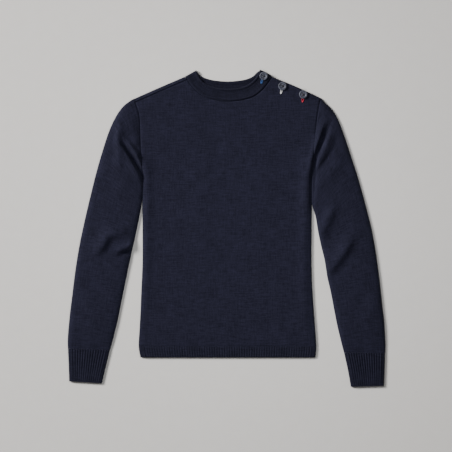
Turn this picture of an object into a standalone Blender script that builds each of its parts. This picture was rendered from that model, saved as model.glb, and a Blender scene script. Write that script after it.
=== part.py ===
"""A long-sleeved sailor sweater with a buttoned left shoulder, laid flat on its back.

Sizes are in millimetres until a mesh is made. Places are (across, up): across from the garment's centre
line, towards the wearer's left, and up from the hem's lower edge towards the neck. Heights are above the
surface that the sweater lies on. Right and left are the wearer's, and the wearer's right has across < 0.
"""

import math
from collections import namedtuple

import bmesh
import bpy
import numpy as np

MM = 0.001

# Cloth
CLOTH = 2.6  # wall of the knit
AIR = 0.6  # between two layers that lie on each other
SEAM = 0.3  # between two pieces at a seam
EDGE_TURN = CLOTH + AIR / 2  # outer radius where cloth folds over, and height of the middle between layers
UNDERSIDE = CLOTH + AIR  # of the upper layer, where nothing lifts it
ROLL = 6.0  # width of the rounded side of a layer pair
GROOVE = 0.7  # how far an edge sinks at a seam
STAND_AIR = 0.45  # over the left shoulder's underlap
SHARP_FROM = math.radians(50)  # edges that bend more than this are shaded sharp

# Body
HEM_RIB = 24.0
UNDERARM = 382.0
HEM_RIBS = 68
HEM_BACK_STEPS = 6
RIB_RISE = 1.1
BAND_RISE = 0.2  # most that the neckband's plain part stands over the panels
FORWARD_SEAM = 7.5  # right shoulder seam, forward of the folded edge
BUTTON_STAND = 24.0  # left shoulder underlap, forward of the folded edge
STAND_SLOPE = (4.0, 22.0)  # how far past the underlap the front starts and ends coming down
STAND_END = (2.0, 36.0)  # the same past the left shoulder point, on the sleeve
FOLD_TURNS = np.radians((35, 70, 105, 140))  # stations of the cloth as it folds over
FRONT_STEPS = 16  # stretches of the neck seam, shared by the neckband and the panel
BACK_STEPS = 14
# Across the neckband from the seam to the rim: shares of its width, and how far it stands up there
BAND_SHARES = np.array([0.0, 0.04, 0.12, 0.22, 0.5, 0.8, 0.9, 0.96, 1.0])
FRONT_RELIEF = np.array([-0.9, 0.4, 0.8, 0.2, 0.1, 0.1, 0.7, 0.5, -0.9])
BACK_RELIEF = np.array([0.0, 0.0, 0.0, 0.0, 0.0, 0.0, 0.4, 0.3, -0.6])

# Sleeves and cuffs
SLEEVE_LOFT = 1.6  # how much higher the sleeve's middle lies than its edges
LOFT_FROM = (0.0, 0.12)  # shares of a sleeve's length, from the cuff, over which its loft grows
LOFT_TO = (0.72, 0.98)  # and over which it fades towards the armhole
SLEEVE_STEPS = 10  # columns across a sleeve's upper layer
UNDER_STEPS = 3  # columns across the flat underside of a sleeve or cuff
CUFF_RIBS = 12
CUFF_ROLL = 4.0

# Buttons
# Half of a button's section: distance from its axis, and height
BUTTON_SECTION = (
    (0.0, 1.7),
    (4.6, 1.7),
    (5.8, 2.4),
    (7.2, 2.8),
    (8.5, 2.4),
    (9.0, 1.5),
    (8.4, 0.5),
    (6.5, 0.0),
    (0.0, 0.0),
)
BUTTON_STEPS = 20
AXIS_MERGE = 0.00001  # metres
HOLE_RADIUS = 0.9
HOLE_SIDES = 8
DRILL_LENGTH = 12.0
HOLE_REACH = 2.0  # from the button's middle to each hole, across and along
BINDING_WIDTH = 2.2
BINDING_RISE = 0.9
BUTTONHOLE_HALF_WIDTH = 1.9  # from the slit's middle to the middle of its binding
BUTTONHOLE_START = -3.0  # past the button's middle, away from the end that shows
BUTTONHOLE_END_STEPS = 8  # round each end
BUTTONHOLE_SIDE_STEPS = 6  # along each side
# Half round of its thread: shares of the half width to each side, and of the rise
BINDING_DOME = ((-1.0, 0.0), (-0.75, 0.7), (0.0, 1.0), (0.75, 0.7), (1.0, 0.0))

Edge = namedtuple("Edge", "up right left")
# The body's two sides and, above the underarm, its armholes
SIDES = (
    Edge(0.0, -184.6, 186.2),
    Edge(11.0, -187.0, 188.1),
    Edge(24.0, -188.6, 188.7),
    Edge(37.0, -188.2, 188.0),
    Edge(62.0, -186.6, 186.3),
    Edge(100.0, -184.6, 183.4),
    Edge(150.0, -182.6, 180.2),
    Edge(203.0, -180.4, 178.5),
    Edge(292.0, -180.4, 178.9),
    Edge(345.0, -180.4, 179.8),
    Edge(382.0, -180.4, 180.2),
    Edge(402.0, -180.8, 181.7),
    Edge(448.0, -184.2, 184.2),
    Edge(480.0, -185.3, 187.6),
    Edge(512.0, -187.0, 191.0),
    Edge(530.0, -191.6, 194.0),
    Edge(551.0, -199.2, 198.1),
)

Place = namedtuple("Place", "across up")
RIGHT_TIP = Place(-198.5, 549.3)  # shoulder point at the armhole
LEFT_TIP = Place(198.1, 551.0)
RIGHT_NECK = Place(-89.9, 596.8)  # shoulder point at the neck seam
LEFT_NECK = Place(95.4, 596.2)
RIGHT_RIM = Place(-66.0, 610.2)  # the same point at the neckband's upper edge
LEFT_RIM = Place(69.4, 611.3)

# Neck seam and neckband's upper edge, from the wearer's right to the left
FRONT_SEAM = (
    RIGHT_NECK,
    Place(-81.4, 584.0),
    Place(-72.0, 571.6),
    Place(-56.4, 558.5),
    Place(-38.1, 550.0),
    Place(-16.8, 545.3),
    Place(3.0, 544.0),
    Place(27.3, 546.0),
    Place(48.6, 551.5),
    Place(60.0, 557.0),
    Place(72.0, 566.0),
    Place(82.4, 577.8),
    LEFT_NECK,
)
BACK_SEAM = (
    RIGHT_NECK,
    Place(-74.0, 582.0),
    Place(-55.0, 571.0),
    Place(-28.1, 562.3),
    Place(1.7, 559.6),
    Place(31.5, 562.3),
    Place(60.0, 571.0),
    Place(79.0, 582.0),
    LEFT_NECK,
)
FRONT_RIM = (
    RIGHT_RIM,
    Place(-63.0, 602.6),
    Place(-59.0, 595.0),
    Place(-52.2, 586.8),
    Place(-41.5, 579.8),
    Place(-22.0, 573.2),
    Place(1.7, 570.6),
    Place(24.0, 572.8),
    Place(43.0, 579.6),
    Place(55.6, 589.6),
    Place(62.8, 598.6),
    LEFT_RIM,
)
BACK_RIM = (
    RIGHT_RIM,
    Place(-61.0, 602.4),
    Place(-51.5, 595.0),
    Place(-31.0, 588.4),
    Place(1.7, 585.5),
    Place(34.0, 588.4),
    Place(54.0, 595.4),
    Place(63.4, 603.4),
    LEFT_RIM,
)

Section = namedtuple("Section", "outer_across outer_up inner_across inner_up bow")
# Each crosses the sleeve from the outer edge to the inner arm. Bow is its share of the armhole's curve.
RIGHT_SLEEVE = (
    Section(-339.1, 18.5, -249.6, 15.8, 0.0),
    Section(-339.3, 41.0, -244.1, 34.5, 0.0),
    Section(-335.3, 87.8, -234.5, 77.1, 0.0),
    Section(-330.1, 130.4, -227.1, 115.4, 0.0),
    Section(-322.5, 190.0, -215.3, 175.1, 0.0),
    Section(-314.0, 241.1, -205.8, 219.8, 0.0),
    Section(-303.1, 292.2, -197.2, 256.0, 0.0),
    Section(-291.0, 343.4, -187.2, 300.8, 0.0),
    Section(-278.2, 394.5, -182.4, 330.6, 0.05),
    Section(-263.3, 445.6, -181.7, 349.7, 0.15),
    Section(-250.3, 483.9, -181.3, 362.5, 0.3),
    Section(-235.8, 513.8, -181.1, 371.0, 0.5),
    Section(-221.9, 532.9, -181.0, 376.4, 0.75),
    Section(-209.6, 543.1, -181.0, 379.6, 0.9),
    Section(-199.4, 549.6, -180.9, 382.0, 1.0),
)
LEFT_SLEEVE = (
    Section(335.0, 8.9, 247.7, 10.0, 0.0),
    Section(335.3, 32.4, 242.4, 30.2, 0.0),
    Section(332.9, 75.0, 234.3, 68.6, 0.0),
    Section(328.7, 111.2, 227.9, 102.7, 0.0),
    Section(324.4, 151.7, 221.1, 138.9, 0.0),
    Section(319.1, 194.3, 213.9, 170.8, 0.0),
    Section(312.0, 241.1, 208.3, 206.4, 0.0),
    Section(304.4, 279.5, 201.0, 237.0, 0.0),
    Section(291.4, 330.6, 193.8, 268.2, 0.0),
    Section(277.1, 381.7, 188.0, 299.4, 0.0),
    Section(260.7, 432.8, 182.0, 325.1, 0.1),
    Section(247.9, 471.2, 181.4, 345.4, 0.25),
    Section(234.9, 505.2, 181.1, 360.3, 0.5),
    Section(222.2, 527.6, 180.9, 370.9, 0.75),
    Section(209.5, 541.6, 180.8, 377.4, 0.9),
    Section(199.0, 551.3, 180.7, 382.0, 1.0),
)
RIGHT_CUFF = (
    Section(-336.3, -50.7, -266.7, -55.0, 0.0),
    Section(-337.4, -16.0, -258.6, -20.0, 0.0),
    Section(-338.9, 18.1, -249.9, 15.4, 0.0),
)
LEFT_CUFF = (
    Section(332.3, -60.5, 262.4, -62.6, 0.0),
    Section(333.6, -27.0, 256.0, -27.0, 0.0),
    Section(334.8, 8.5, 248.0, 9.6, 0.0),
)

Crease = namedtuple("Crease", "across up to_across to_up width height")
# The largest creases of the upper layer: ridges stand up, troughs have a height below nought
CREASES = (
    Crease(-232.0, 462.0, -206.0, 402.0, 11.0, 1.7),
    Crease(-222.0, 462.0, -188.0, 396.0, 7.0, -2.2),
    Crease(-205.0, 470.0, -191.0, 430.0, 9.0, 1.2),
    Crease(-250.0, 262.0, -270.0, 236.0, 9.0, 1.6),
    Crease(-247.0, 252.0, -275.0, 220.0, 7.0, -1.8),
    Crease(-238.0, 228.0, -212.0, 236.0, 8.0, 1.5),
    Crease(-234.0, 219.0, -208.0, 227.0, 6.0, -1.6),
    Crease(224.0, 484.0, 197.0, 420.0, 10.0, 1.6),
    Crease(214.0, 486.0, 186.0, 408.0, 7.0, -2.2),
    Crease(226.0, 446.0, 190.0, 388.0, 8.0, -1.6),
    Crease(240.0, 440.0, 206.0, 376.0, 11.0, 1.6),
    Crease(232.0, 313.0, 206.0, 258.0, 9.0, -1.6),
    Crease(245.0, 306.0, 218.0, 252.0, 9.0, 1.4),
    Crease(266.0, 250.0, 224.0, 180.0, 9.0, -1.8),
    Crease(276.0, 240.0, 240.0, 186.0, 10.0, 1.3),
)

Button = namedtuple("Button", "name across up slit_end_across slit_end_up")
BUTTONS = (
    Button("neck", 76.9, 597.7, 71.6, 581.6),
    Button("middle", 116.9, 576.2, 113.3, 559.8),
    Button("shoulder", 161.0, 558.5, 159.4, 541.6),
)

Finish = namedtuple("Finish", "colour roughness")
NAVY = (0.012, 0.014, 0.027)
FINISHES = {
    "navy knit": Finish(NAVY, 0.95),
    "navy rib": Finish((0.011, 0.013, 0.025), 0.95),
    "slate button": Finish((0.11, 0.13, 0.19), 0.3),
    "blue thread": Finish((0.01, 0.09, 0.33), 0.8),
    "white thread": Finish((0.62, 0.62, 0.6), 0.8),
    "red thread": Finish((0.42, 0.01, 0.02), 0.8),
}

# Heights of the panels' rows up to the underarm, and the later rows' shares of the way to the upper edge
LEVELS_BELOW = np.concatenate([np.linspace(HEM_RIB + SEAM, 330, 6), [UNDERARM - 12, UNDERARM]])
FRONT_LEVELS = (0.04, 0.09, 0.25, 0.42, 0.58, 0.7, 0.8, 0.88, 0.95, 0.987, 1.0)
BACK_LEVELS = (0.05, 0.12, 0.4, 0.7, 0.85, 0.94, 1.0)
UNROLLED = 0.09  # share where a panel's edge lies flat against its sleeve

# A rounded side: shares of its width, from the edge inward, and the share of the full height there
ROLL_SHARES = np.array([0.0, 0.13, 0.5, 1.0])
ROLL_HEIGHTS = np.sqrt(1 - (1 - ROLL_SHARES) ** 2)


def clear_scene():
    for obj in list(bpy.data.objects):
        bpy.data.objects.remove(obj, do_unlink=True)


def smooth_step(value, start, end):
    """0 before start and 1 after end, with a smooth change between them."""
    share = np.clip((value - start) / (end - start), 0, 1)
    return share * share * (3 - 2 * share)


def curve_through(places, steps=8):
    """A smooth curve through these places, as a dense row of points."""
    p = np.array(places, float)
    p = np.vstack([2 * p[0] - p[1], p, 2 * p[-1] - p[-2]])
    points = []
    for k in range(1, len(p) - 2):
        for t in np.arange(steps) / steps:
            bend = 2 * p[k - 1] - 5 * p[k] + 4 * p[k + 1] - p[k + 2]
            turn = 3 * p[k] - p[k - 1] - 3 * p[k + 1] + p[k + 2]
            points.append(p[k] + 0.5 * ((p[k + 1] - p[k - 1]) * t + bend * t**2 + turn * t**3))
    return np.array(points + [p[-2]])


def along(curve, shares):
    """Points at these shares of the curve's length."""
    run = np.concatenate([[0], np.cumsum(np.linalg.norm(np.diff(curve, axis=0), axis=1))])
    return np.stack([np.interp(np.array(shares) * run[-1], run, axis) for axis in curve.T], axis=1)


def distance_to_stretch(across, up, start, end):
    """Distance from a point to the straight stretch between two places."""
    run = np.subtract(end, start)
    share = np.clip(((across - start[0]) * run[0] + (up - start[1]) * run[1]) / (run @ run), 0, 1)
    return np.hypot(across - start[0] - share * run[0], up - start[1] - share * run[1])


def stand_lift(across, up):
    """How far the left shoulder's underlap lifts what lies on it."""
    along_band = distance_to_stretch(across, up, LEFT_RIM, LEFT_NECK)
    along_shoulder = distance_to_stretch(across, up, LEFT_NECK, LEFT_TIP)
    past = np.minimum(along_band, along_shoulder) - BUTTON_STAND
    near = 1 - smooth_step(past, *STAND_SLOPE)
    on_body = 1 - smooth_step(across - LEFT_TIP.across, *STAND_END)
    return (2 * EDGE_TURN + STAND_AIR - UNDERSIDE) * near * on_body


def lie(across, up, loft=0.0):
    """Height of the upper layer's underside."""
    height = UNDERSIDE + loft + stand_lift(across, up)
    for crease in CREASES:
        away = distance_to_stretch(across, up, crease[:2], crease[2:4])
        height = height + crease.height * np.exp(-((away / crease.width) ** 2))
    return np.maximum(height, UNDERSIDE + stand_lift(across, up))


def side(up, which):
    """Across-place of the body's right (0) or left (1) edge at this height."""
    edges = np.array(SIDES)
    curve = curve_through(edges[:, [0, 1 + which]])
    return np.interp(up, curve[:, 0], curve[:, 1])


def forward(place_from, place_to):
    """Unit direction in the plane, square to a shoulder line and out of the garment."""
    run = np.subtract(place_to, place_from)
    out = np.array([-run[1], run[0]]) / math.hypot(*run)
    return out if out[1] > 0 else -out


def new_object(name, points, faces, finish):
    mesh = bpy.data.meshes.new(name)
    bm = bmesh.new()
    made = [bm.verts.new(np.multiply(point, MM)) for point in points]
    for face in faces:
        bm.faces.new([made[k] for k in face])
    bmesh.ops.delete(bm, geom=[v for v in bm.verts if not v.link_faces], context="VERTS")
    bmesh.ops.recalc_face_normals(bm, faces=bm.faces)
    if bm.calc_volume(signed=True) < 0:
        bmesh.ops.reverse_faces(bm, faces=bm.faces)
    bm.to_mesh(mesh)
    bm.free()
    mesh.shade_smooth()
    mesh.set_sharp_from_angle(angle=SHARP_FROM)
    obj = bpy.data.objects.new(name, mesh)
    mesh.materials.append(material(finish))
    return obj


def material(finish):
    """The Principled material of this finish, made once."""
    found = bpy.data.materials.get(finish)
    if found:
        return found
    made = bpy.data.materials.new(finish)
    made.use_nodes = True
    shader = made.node_tree.nodes["Principled BSDF"]
    shader.inputs["Base Color"].default_value = (*FINISHES[finish].colour, 1)
    shader.inputs["Roughness"].default_value = FINISHES[finish].roughness
    shader.inputs["Metallic"].default_value = 0
    made.diffuse_color = (*FINISHES[finish].colour, 1)
    return made


def wall(name, outside, inside, finish, tube=False, kept=None):
    """A closed wall between two grids of points, rows by columns. A tube's last column meets its first."""
    rows, columns = outside.shape[:2]
    points = np.concatenate([outside.reshape(-1, 3), inside.reshape(-1, 3)])
    wide = columns if tube else columns - 1
    faces = []
    rims = {}
    for j in range(rows - 1):
        for i in range(wide):
            if kept is not None and not kept[j, i]:
                continue
            after = (i + 1) % columns
            row, next_row = j * columns, (j + 1) * columns
            corners = (row + i, row + after, next_row + after, next_row + i)
            faces.append(corners)
            faces.append(tuple(k + rows * columns for k in reversed(corners)))
            for a, b in zip(corners, corners[1:] + corners[:1]):
                if (b, a) in rims:
                    del rims[(b, a)]
                else:
                    rims[(a, b)] = True
    for a, b in rims:
        faces.append((b, a, a + rows * columns, b + rows * columns))
    return new_object(name, points, faces, finish)


def row_across(left, right, inner_shares):
    """Places across a row, from edge to edge, and each one's share of the full height at a rounded side."""
    middle = left + ROLL + np.array(inner_shares) * (right - left - 2 * ROLL)
    places = np.concatenate([left + ROLL * ROLL_SHARES[:-1], middle, right - ROLL * ROLL_SHARES[-2::-1]])
    heights = np.concatenate([ROLL_HEIGHTS[:-1], np.ones(len(middle)), ROLL_HEIGHTS[-2::-1]])
    inset = np.concatenate([ROLL_SHARES[:-1], np.ones(len(middle)), ROLL_SHARES[-2::-1]])
    inward = CLOTH * (1 - inset) * np.where(np.arange(len(places)) < len(places) / 2, 1, -1)
    return places, heights, inward


def panel_row(left, right, ups, inner_shares, rolled, upper, relief=0.0, sink=0.0):
    """Outer and inner points of one row of the front (upper) or the back."""
    places, heights, inward = row_across(left, right, inner_shares)
    heights = 1 - (1 - heights) * rolled
    within = places + inward * rolled
    ups = np.broadcast_to(ups, places.shape)
    if upper:
        middle = EDGE_TURN + SEAM / 2
        under = lie(places, ups)
        outer = middle + (under + CLOTH + relief - sink - middle) * heights
        inner = middle + (under - middle) * heights
    else:
        middle = EDGE_TURN - SEAM / 2
        outer = middle * (1 - heights)
        inner = middle + (CLOTH - middle) * heights
    return np.stack([places, ups, outer], axis=1), np.stack([within, ups, inner], axis=1)


def offset_down(curve, distance):
    """A row of points moved square to its own run, down out of the neck."""
    run = np.gradient(curve, axis=0)
    run /= np.linalg.norm(run, axis=1)[:, None]
    return curve + distance * np.stack([run[:, 1], -run[:, 0]], axis=1)


def band_edges(seam, rim, steps, folded_left):
    """The neckband's lower and upper edges at shared stations, from the right fold to the left."""
    shares = np.linspace(0, 1, steps + 1)
    edges = []
    for line in (seam, rim):
        places = along(curve_through(line), shares)
        places[0] -= EDGE_TURN * forward(RIGHT_NECK, RIGHT_RIM)
        if folded_left:
            places[-1] -= EDGE_TURN * forward(LEFT_NECK, LEFT_RIM)
        edges.append(places)
    return edges


def body_rows(neck, right_line, left_line, shoulder_steps, upper, levels_above):
    """Rows of a panel from the hem rib to its upper edge, as outer and inner grids, and its neck columns.

    The upper edge is the right shoulder's line, the neck's row of points and the left shoulder's line.
    """

    def top(across):
        on_neck = np.interp(across, neck[:, 0], neck[:, 1])
        on_right = np.interp(across, *np.transpose(right_line))
        on_left = np.interp(across, *np.transpose(left_line))
        return np.where(across < neck[0, 0], on_right, np.where(across > neck[-1, 0], on_left, on_neck))

    ends = []
    for which, tip in enumerate((RIGHT_TIP, LEFT_TIP)):
        up = tip.up
        for _ in range(4):
            up = float(top(side(up, which)))
        ends.append(up)
    right, left = side(ends[0], 0), side(ends[1], 1)
    on_neck = (neck[:, 0] - right - ROLL) / (left - right - 2 * ROLL)
    before = np.linspace(0, on_neck[0], shoulder_steps + 1)[:-1]
    after = np.linspace(on_neck[-1], 1, shoulder_steps + 1)[1:]
    shares = np.concatenate([before, on_neck, after])
    across_top = row_across(right, left, shares)[0]
    outer, inner = [], []
    for up in LEVELS_BELOW:
        sink = GROOVE * (up < HEM_RIB + 1)
        rows = panel_row(side(up, 0), side(up, 1), up, shares, 1.0, upper, sink=sink)
        outer.append(rows[0])
        inner.append(rows[1])
    for level in levels_above:
        ups = UNDERARM + (top(across_top) - UNDERARM) * level
        at_right = side(UNDERARM + (ends[0] - UNDERARM) * level, 0)
        at_left = side(UNDERARM + (ends[1] - UNDERARM) * level, 1)
        rolled = 1 - smooth_step(level, 0.0, UNROLLED)
        rows = panel_row(at_right, at_left, ups, shares, rolled, upper, sink=GROOVE * (level == 1))
        rows[0][[0, -1], 2] -= GROOVE * (1 - rolled) * upper
        outer.append(rows[0])
        inner.append(rows[1])
    first = len(ROLL_SHARES) - 1 + shoulder_steps
    return outer, inner, (first, first + len(neck) - 1)


def front_panel():
    """The front, to the forward seam on the right shoulder and to the folded edge on the left."""
    out = forward(RIGHT_TIP, RIGHT_NECK)
    seam_line = np.array([RIGHT_TIP, RIGHT_NECK]) - (FORWARD_SEAM + SEAM) * out
    run = seam_line[1] - seam_line[0]
    seam_line = [seam_line[0] - 0.2 * run, seam_line[1] + 0.2 * run]
    neck = offset_down(band_edges(FRONT_SEAM, FRONT_RIM, FRONT_STEPS, False)[0], SEAM)
    over = neck[:, 1] - np.interp(neck[:, 0], *np.transpose(seam_line))
    below = int(np.argmax(over < 0))
    share = over[below - 1] / (over[below - 1] - over[below])
    corner = neck[below - 1] + share * (neck[below] - neck[below - 1])
    neck = np.vstack([corner, neck[below:]])
    outer, inner, _ = body_rows(neck, seam_line, [neck[-1], LEFT_TIP], 4, True, FRONT_LEVELS)
    return wall("front_panel", np.array(outer), np.array(inner), "navy knit")


def back_panel():
    """The back, with its shoulder edges folded forward over themselves."""
    neck = offset_down(band_edges(BACK_SEAM, BACK_RIM, BACK_STEPS, True)[0], SEAM)
    tips = (
        np.array(RIGHT_TIP) - EDGE_TURN * forward(RIGHT_TIP, RIGHT_NECK),
        np.array(LEFT_TIP) - EDGE_TURN * forward(LEFT_TIP, LEFT_NECK),
    )
    right_line, left_line = [tips[0], neck[0]], [neck[-1], tips[1]]
    outer, inner, corners = body_rows(neck, right_line, left_line, 3, False, BACK_LEVELS)
    fold_line = outer[-1][:, :2]
    columns = len(fold_line)
    outs = fold_directions(columns, corners)
    on_right = (np.arange(columns) < columns / 2)[:, None]
    depths = np.where(on_right, FORWARD_SEAM, BUTTON_STAND) - EDGE_TURN
    turns = [*FOLD_TURNS, math.pi]
    flats = (0.5, 1.0)
    for turn in turns:
        for grid, radius in ((outer, EDGE_TURN), (inner, EDGE_TURN - CLOTH)):
            flat = fold_line + outs * radius * math.sin(turn)
            height = np.full((columns, 1), EDGE_TURN - radius * math.cos(turn))
            grid.append(np.hstack([flat, height]))
    for share in flats:
        flat = fold_line - outs * depths * share
        sink = GROOVE * (share == 1) * on_right
        outer.append(np.hstack([flat, 2 * EDGE_TURN - sink]))
        inner.append(np.hstack([flat, np.full((columns, 1), 2 * EDGE_TURN - CLOTH)]))
    kept = np.ones((len(outer) - 1, columns - 1), bool)
    kept[-len(turns) - len(flats) :, corners[0] : corners[1]] = False
    return wall("back_panel", np.array(outer), np.array(inner), "navy knit", kept=kept)


def fold_directions(columns, corners):
    """Where each column of the back goes as it folds: along the armholes at the tips, with the neckband
    at the neck.
    """
    at_ends = []
    for which, tip in enumerate((RIGHT_TIP, LEFT_TIP)):
        run = np.array([side(tip.up, which) - side(tip.up - 10, which), 10.0])
        at_ends.append(run / math.hypot(*run))
    at_neck = (forward(RIGHT_NECK, RIGHT_RIM), forward(LEFT_NECK, LEFT_RIM))
    where = np.arange(columns)
    stops = (0, corners[0], corners[1], columns - 1)
    stages = np.array([at_ends[0], at_neck[0], at_neck[1], at_ends[1]])
    outs = np.stack([np.interp(where, stops, stages[:, k]) for k in (0, 1)], axis=1)
    return outs / np.linalg.norm(outs, axis=1)[:, None]


def hem(name, upper):
    """A hem rib: ribs stand up on the front, and the back lies flat."""
    shares = np.linspace(0, 1, 2 * HEM_RIBS + 1) if upper else np.linspace(0, 1, HEM_BACK_STEPS + 1)
    relief = np.zeros(len(shares) + 2 * (len(ROLL_SHARES) - 1))
    if upper:
        first = len(ROLL_SHARES) - 1
        relief[first + 1 : first + len(shares) : 2] = RIB_RISE
    outer, inner = [], []
    for up in (0.0, HEM_RIB / 2, HEM_RIB):
        rows = panel_row(side(up, 0), side(up, 1), up, shares, 1.0, upper, relief=relief)
        outer.append(rows[0])
        inner.append(rows[1])
    return wall(name, np.array(outer), np.array(inner), "navy rib")


def flat_tube(name, sections, inner_shares, finish, loft, roll, relief, which=None):
    """A tube lying flat, through sections from its far end to its near end."""
    table = np.array(sections)
    under_shares = np.linspace(0, 1, UNDER_STEPS + 1)
    rows_out, rows_in = [], []
    for k, (oa, ou, ia, iu, bow) in enumerate(table):
        start, end = np.array([oa, ou]), np.array([ia, iu])
        width = math.hypot(*(end - start))
        share_of_length = k / (len(table) - 1)

        def place(run, bow=bow, start=start, end=end, width=width):
            share = run / width
            points = start + np.outer(share, end - start)
            if which is not None and bow > 0:
                tip = (RIGHT_TIP, LEFT_TIP)[which]
                ups = tip.up + (UNDERARM - tip.up) * share
                straight = side(tip.up, which) + (side(UNDERARM, which) - side(tip.up, which)) * share
                points[:, 0] += bow * (side(ups, which) - straight)
            return points

        middle = roll + inner_shares * (width - 2 * roll)
        below = roll + under_shares * (width - 2 * roll)
        edge, heights = roll * ROLL_SHARES[:-1], ROLL_HEIGHTS[:-1]
        run = np.concatenate([edge, middle, width - edge[::-1], width - edge[1:], below[::-1], edge[:0:-1]])
        lifts = np.concatenate([heights, np.ones(len(middle)), heights[::-1]])
        drops = np.concatenate([heights[1:], np.ones(len(below)), heights[:0:-1]])
        inset = CLOTH * (1 - np.minimum(np.minimum(run, width - run) / roll, 1))
        inset = np.where(run < width / 2, inset, -inset)
        on_top = len(lifts)
        flat = place(run)
        within = place(run + inset)
        grown, faded = smooth_step(share_of_length, *LOFT_FROM), smooth_step(share_of_length, *LOFT_TO)
        crown = loft * grown * (1 - faded)
        bulge = crown * np.sin(math.pi * run[:on_top] / width)
        under = lie(flat[:on_top, 0], flat[:on_top, 1], bulge)
        sink = GROOVE if share_of_length in (0, 1) and loft > 0 else 0.0
        outer_z = np.empty(len(run))
        inner_z = np.empty(len(run))
        outer_z[:on_top] = EDGE_TURN + (under + CLOTH + relief - sink - EDGE_TURN) * lifts
        inner_z[:on_top] = EDGE_TURN + (under - EDGE_TURN) * lifts
        outer_z[on_top:] = EDGE_TURN * (1 - drops)
        inner_z[on_top:] = EDGE_TURN + (CLOTH - EDGE_TURN) * drops
        rows_out.append(np.column_stack([flat, outer_z]))
        rows_in.append(np.column_stack([within, inner_z]))
    return wall(name, np.array(rows_out), np.array(rows_in), finish, tube=True)


def sleeve(name, sections, which):
    across = np.linspace(0, 1, SLEEVE_STEPS + 1)
    return flat_tube(name, sections, across, "navy knit", SLEEVE_LOFT, ROLL, 0.0, which)


def cuff(name, sections):
    across = np.linspace(0, 1, 3 * CUFF_RIBS + 1)
    edges = len(ROLL_SHARES) - 1
    relief = np.zeros(len(across) + 2 * edges)
    for column in range(len(across)):
        relief[edges + column] = RIB_RISE * (column % 3 != 0)
    return flat_tube(name, sections, across, "navy rib", 0.0, CUFF_ROLL, relief)


def neckband():
    """One strip: along the front, over at the right shoulder, along the back and under its own start."""
    outer, inner = [], []

    def station(low, high, layer, turn=0.0, out=None, away=0.0, sink=0.0):
        flat = low + np.outer(BAND_SHARES, high - low)
        if layer == "front":
            under = lie(flat[:, 0], flat[:, 1])
            outer.append(np.column_stack([flat, under + CLOTH + FRONT_RELIEF - sink]))
            inner.append(np.column_stack([flat, under]))
        elif layer == "back":
            outer.append(np.column_stack([flat, np.zeros(len(flat))]))
            inner.append(np.column_stack([flat, CLOTH + BACK_RELIEF]))
        elif layer == "underlap":
            flat = flat - out * away
            outer.append(np.column_stack([flat, np.full(len(flat), 2 * EDGE_TURN)]))
            inner.append(np.column_stack([flat, np.full(len(flat), 2 * EDGE_TURN - CLOTH)]))
        else:
            for grid, radius in ((outer, EDGE_TURN), (inner, EDGE_TURN - CLOTH)):
                moved = flat + out * radius * math.sin(turn)
                height = np.full(len(flat), EDGE_TURN - radius * math.cos(turn))
                grid.append(np.column_stack([moved, height]))

    lows, highs = band_edges(FRONT_SEAM, FRONT_RIM, FRONT_STEPS, False)
    for k in range(FRONT_STEPS, -1, -1):
        station(lows[k], highs[k], "front", sink=GROOVE * (k == FRONT_STEPS))
    for turn in FOLD_TURNS[::-1]:
        station(lows[0], highs[0], "fold", turn, forward(RIGHT_NECK, RIGHT_RIM))
    lows, highs = band_edges(BACK_SEAM, BACK_RIM, BACK_STEPS, True)
    for low, high in zip(lows, highs):
        station(low, high, "back")
    left_out = forward(LEFT_NECK, LEFT_RIM)
    for turn in FOLD_TURNS:
        station(lows[-1], highs[-1], "fold", turn, left_out)
    for away in (0.0, BUTTON_STAND - EDGE_TURN):
        station(lows[-1], highs[-1], "underlap", out=left_out, away=away)
    return wall("neckband", np.array(outer), np.array(inner), "navy knit")


def resting(across, up):
    """Height of the outer face of the front and its neckband."""
    return float(lie(across, up)) + CLOTH + BAND_RISE


def button(spec):
    """A turned button with a raised rim and four holes."""
    mesh = bpy.data.meshes.new(f"button_{spec.name}")
    bm = bmesh.new()
    points = [bm.verts.new((x * MM, 0, z * MM)) for x, z in BUTTON_SECTION]
    for a, b in zip(points, points[1:]):
        bm.edges.new((a, b))
    bm.to_mesh(mesh)
    bm.free()
    turned = bpy.data.objects.new(f"button_{spec.name}", mesh)
    screw = turned.modifiers.new("turned", "SCREW")
    screw.steps = BUTTON_STEPS
    screw.render_steps = BUTTON_STEPS
    screw.use_merge_vertices = True
    screw.merge_threshold = AXIS_MERGE
    for across in (-HOLE_REACH, HOLE_REACH):
        for up in (-HOLE_REACH, HOLE_REACH):
            cut = turned.modifiers.new("hole", "BOOLEAN")
            cut.operation = "DIFFERENCE"
            cut.object = drill(spec, across, up)
    height = resting(spec.across, spec.up) + BINDING_RISE + 2 * SEAM
    turned.location = (spec.across * MM, spec.up * MM, height * MM)
    mesh.materials.append(material("slate button"))
    mesh.shade_smooth()
    return turned


def drill(spec, across, up):
    """The cutter of one hole in a button."""
    mesh = bpy.data.meshes.new(f"drill_{spec.name}")
    bm = bmesh.new()
    radius, depth = HOLE_RADIUS * MM, DRILL_LENGTH * MM
    size = {"radius1": radius, "radius2": radius, "depth": depth}
    bmesh.ops.create_cone(bm, cap_ends=True, segments=HOLE_SIDES, **size)
    bm.to_mesh(mesh)
    bm.free()
    cutter = bpy.data.objects.new(f"drill_{spec.name}", mesh)
    height = resting(spec.across, spec.up) + BUTTON_SECTION[0][1]
    cutter.location = ((spec.across + across) * MM, (spec.up + up) * MM, height * MM)
    cutter.hide_render = True
    cutter.display_type = "WIRE"
    return cutter


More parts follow.
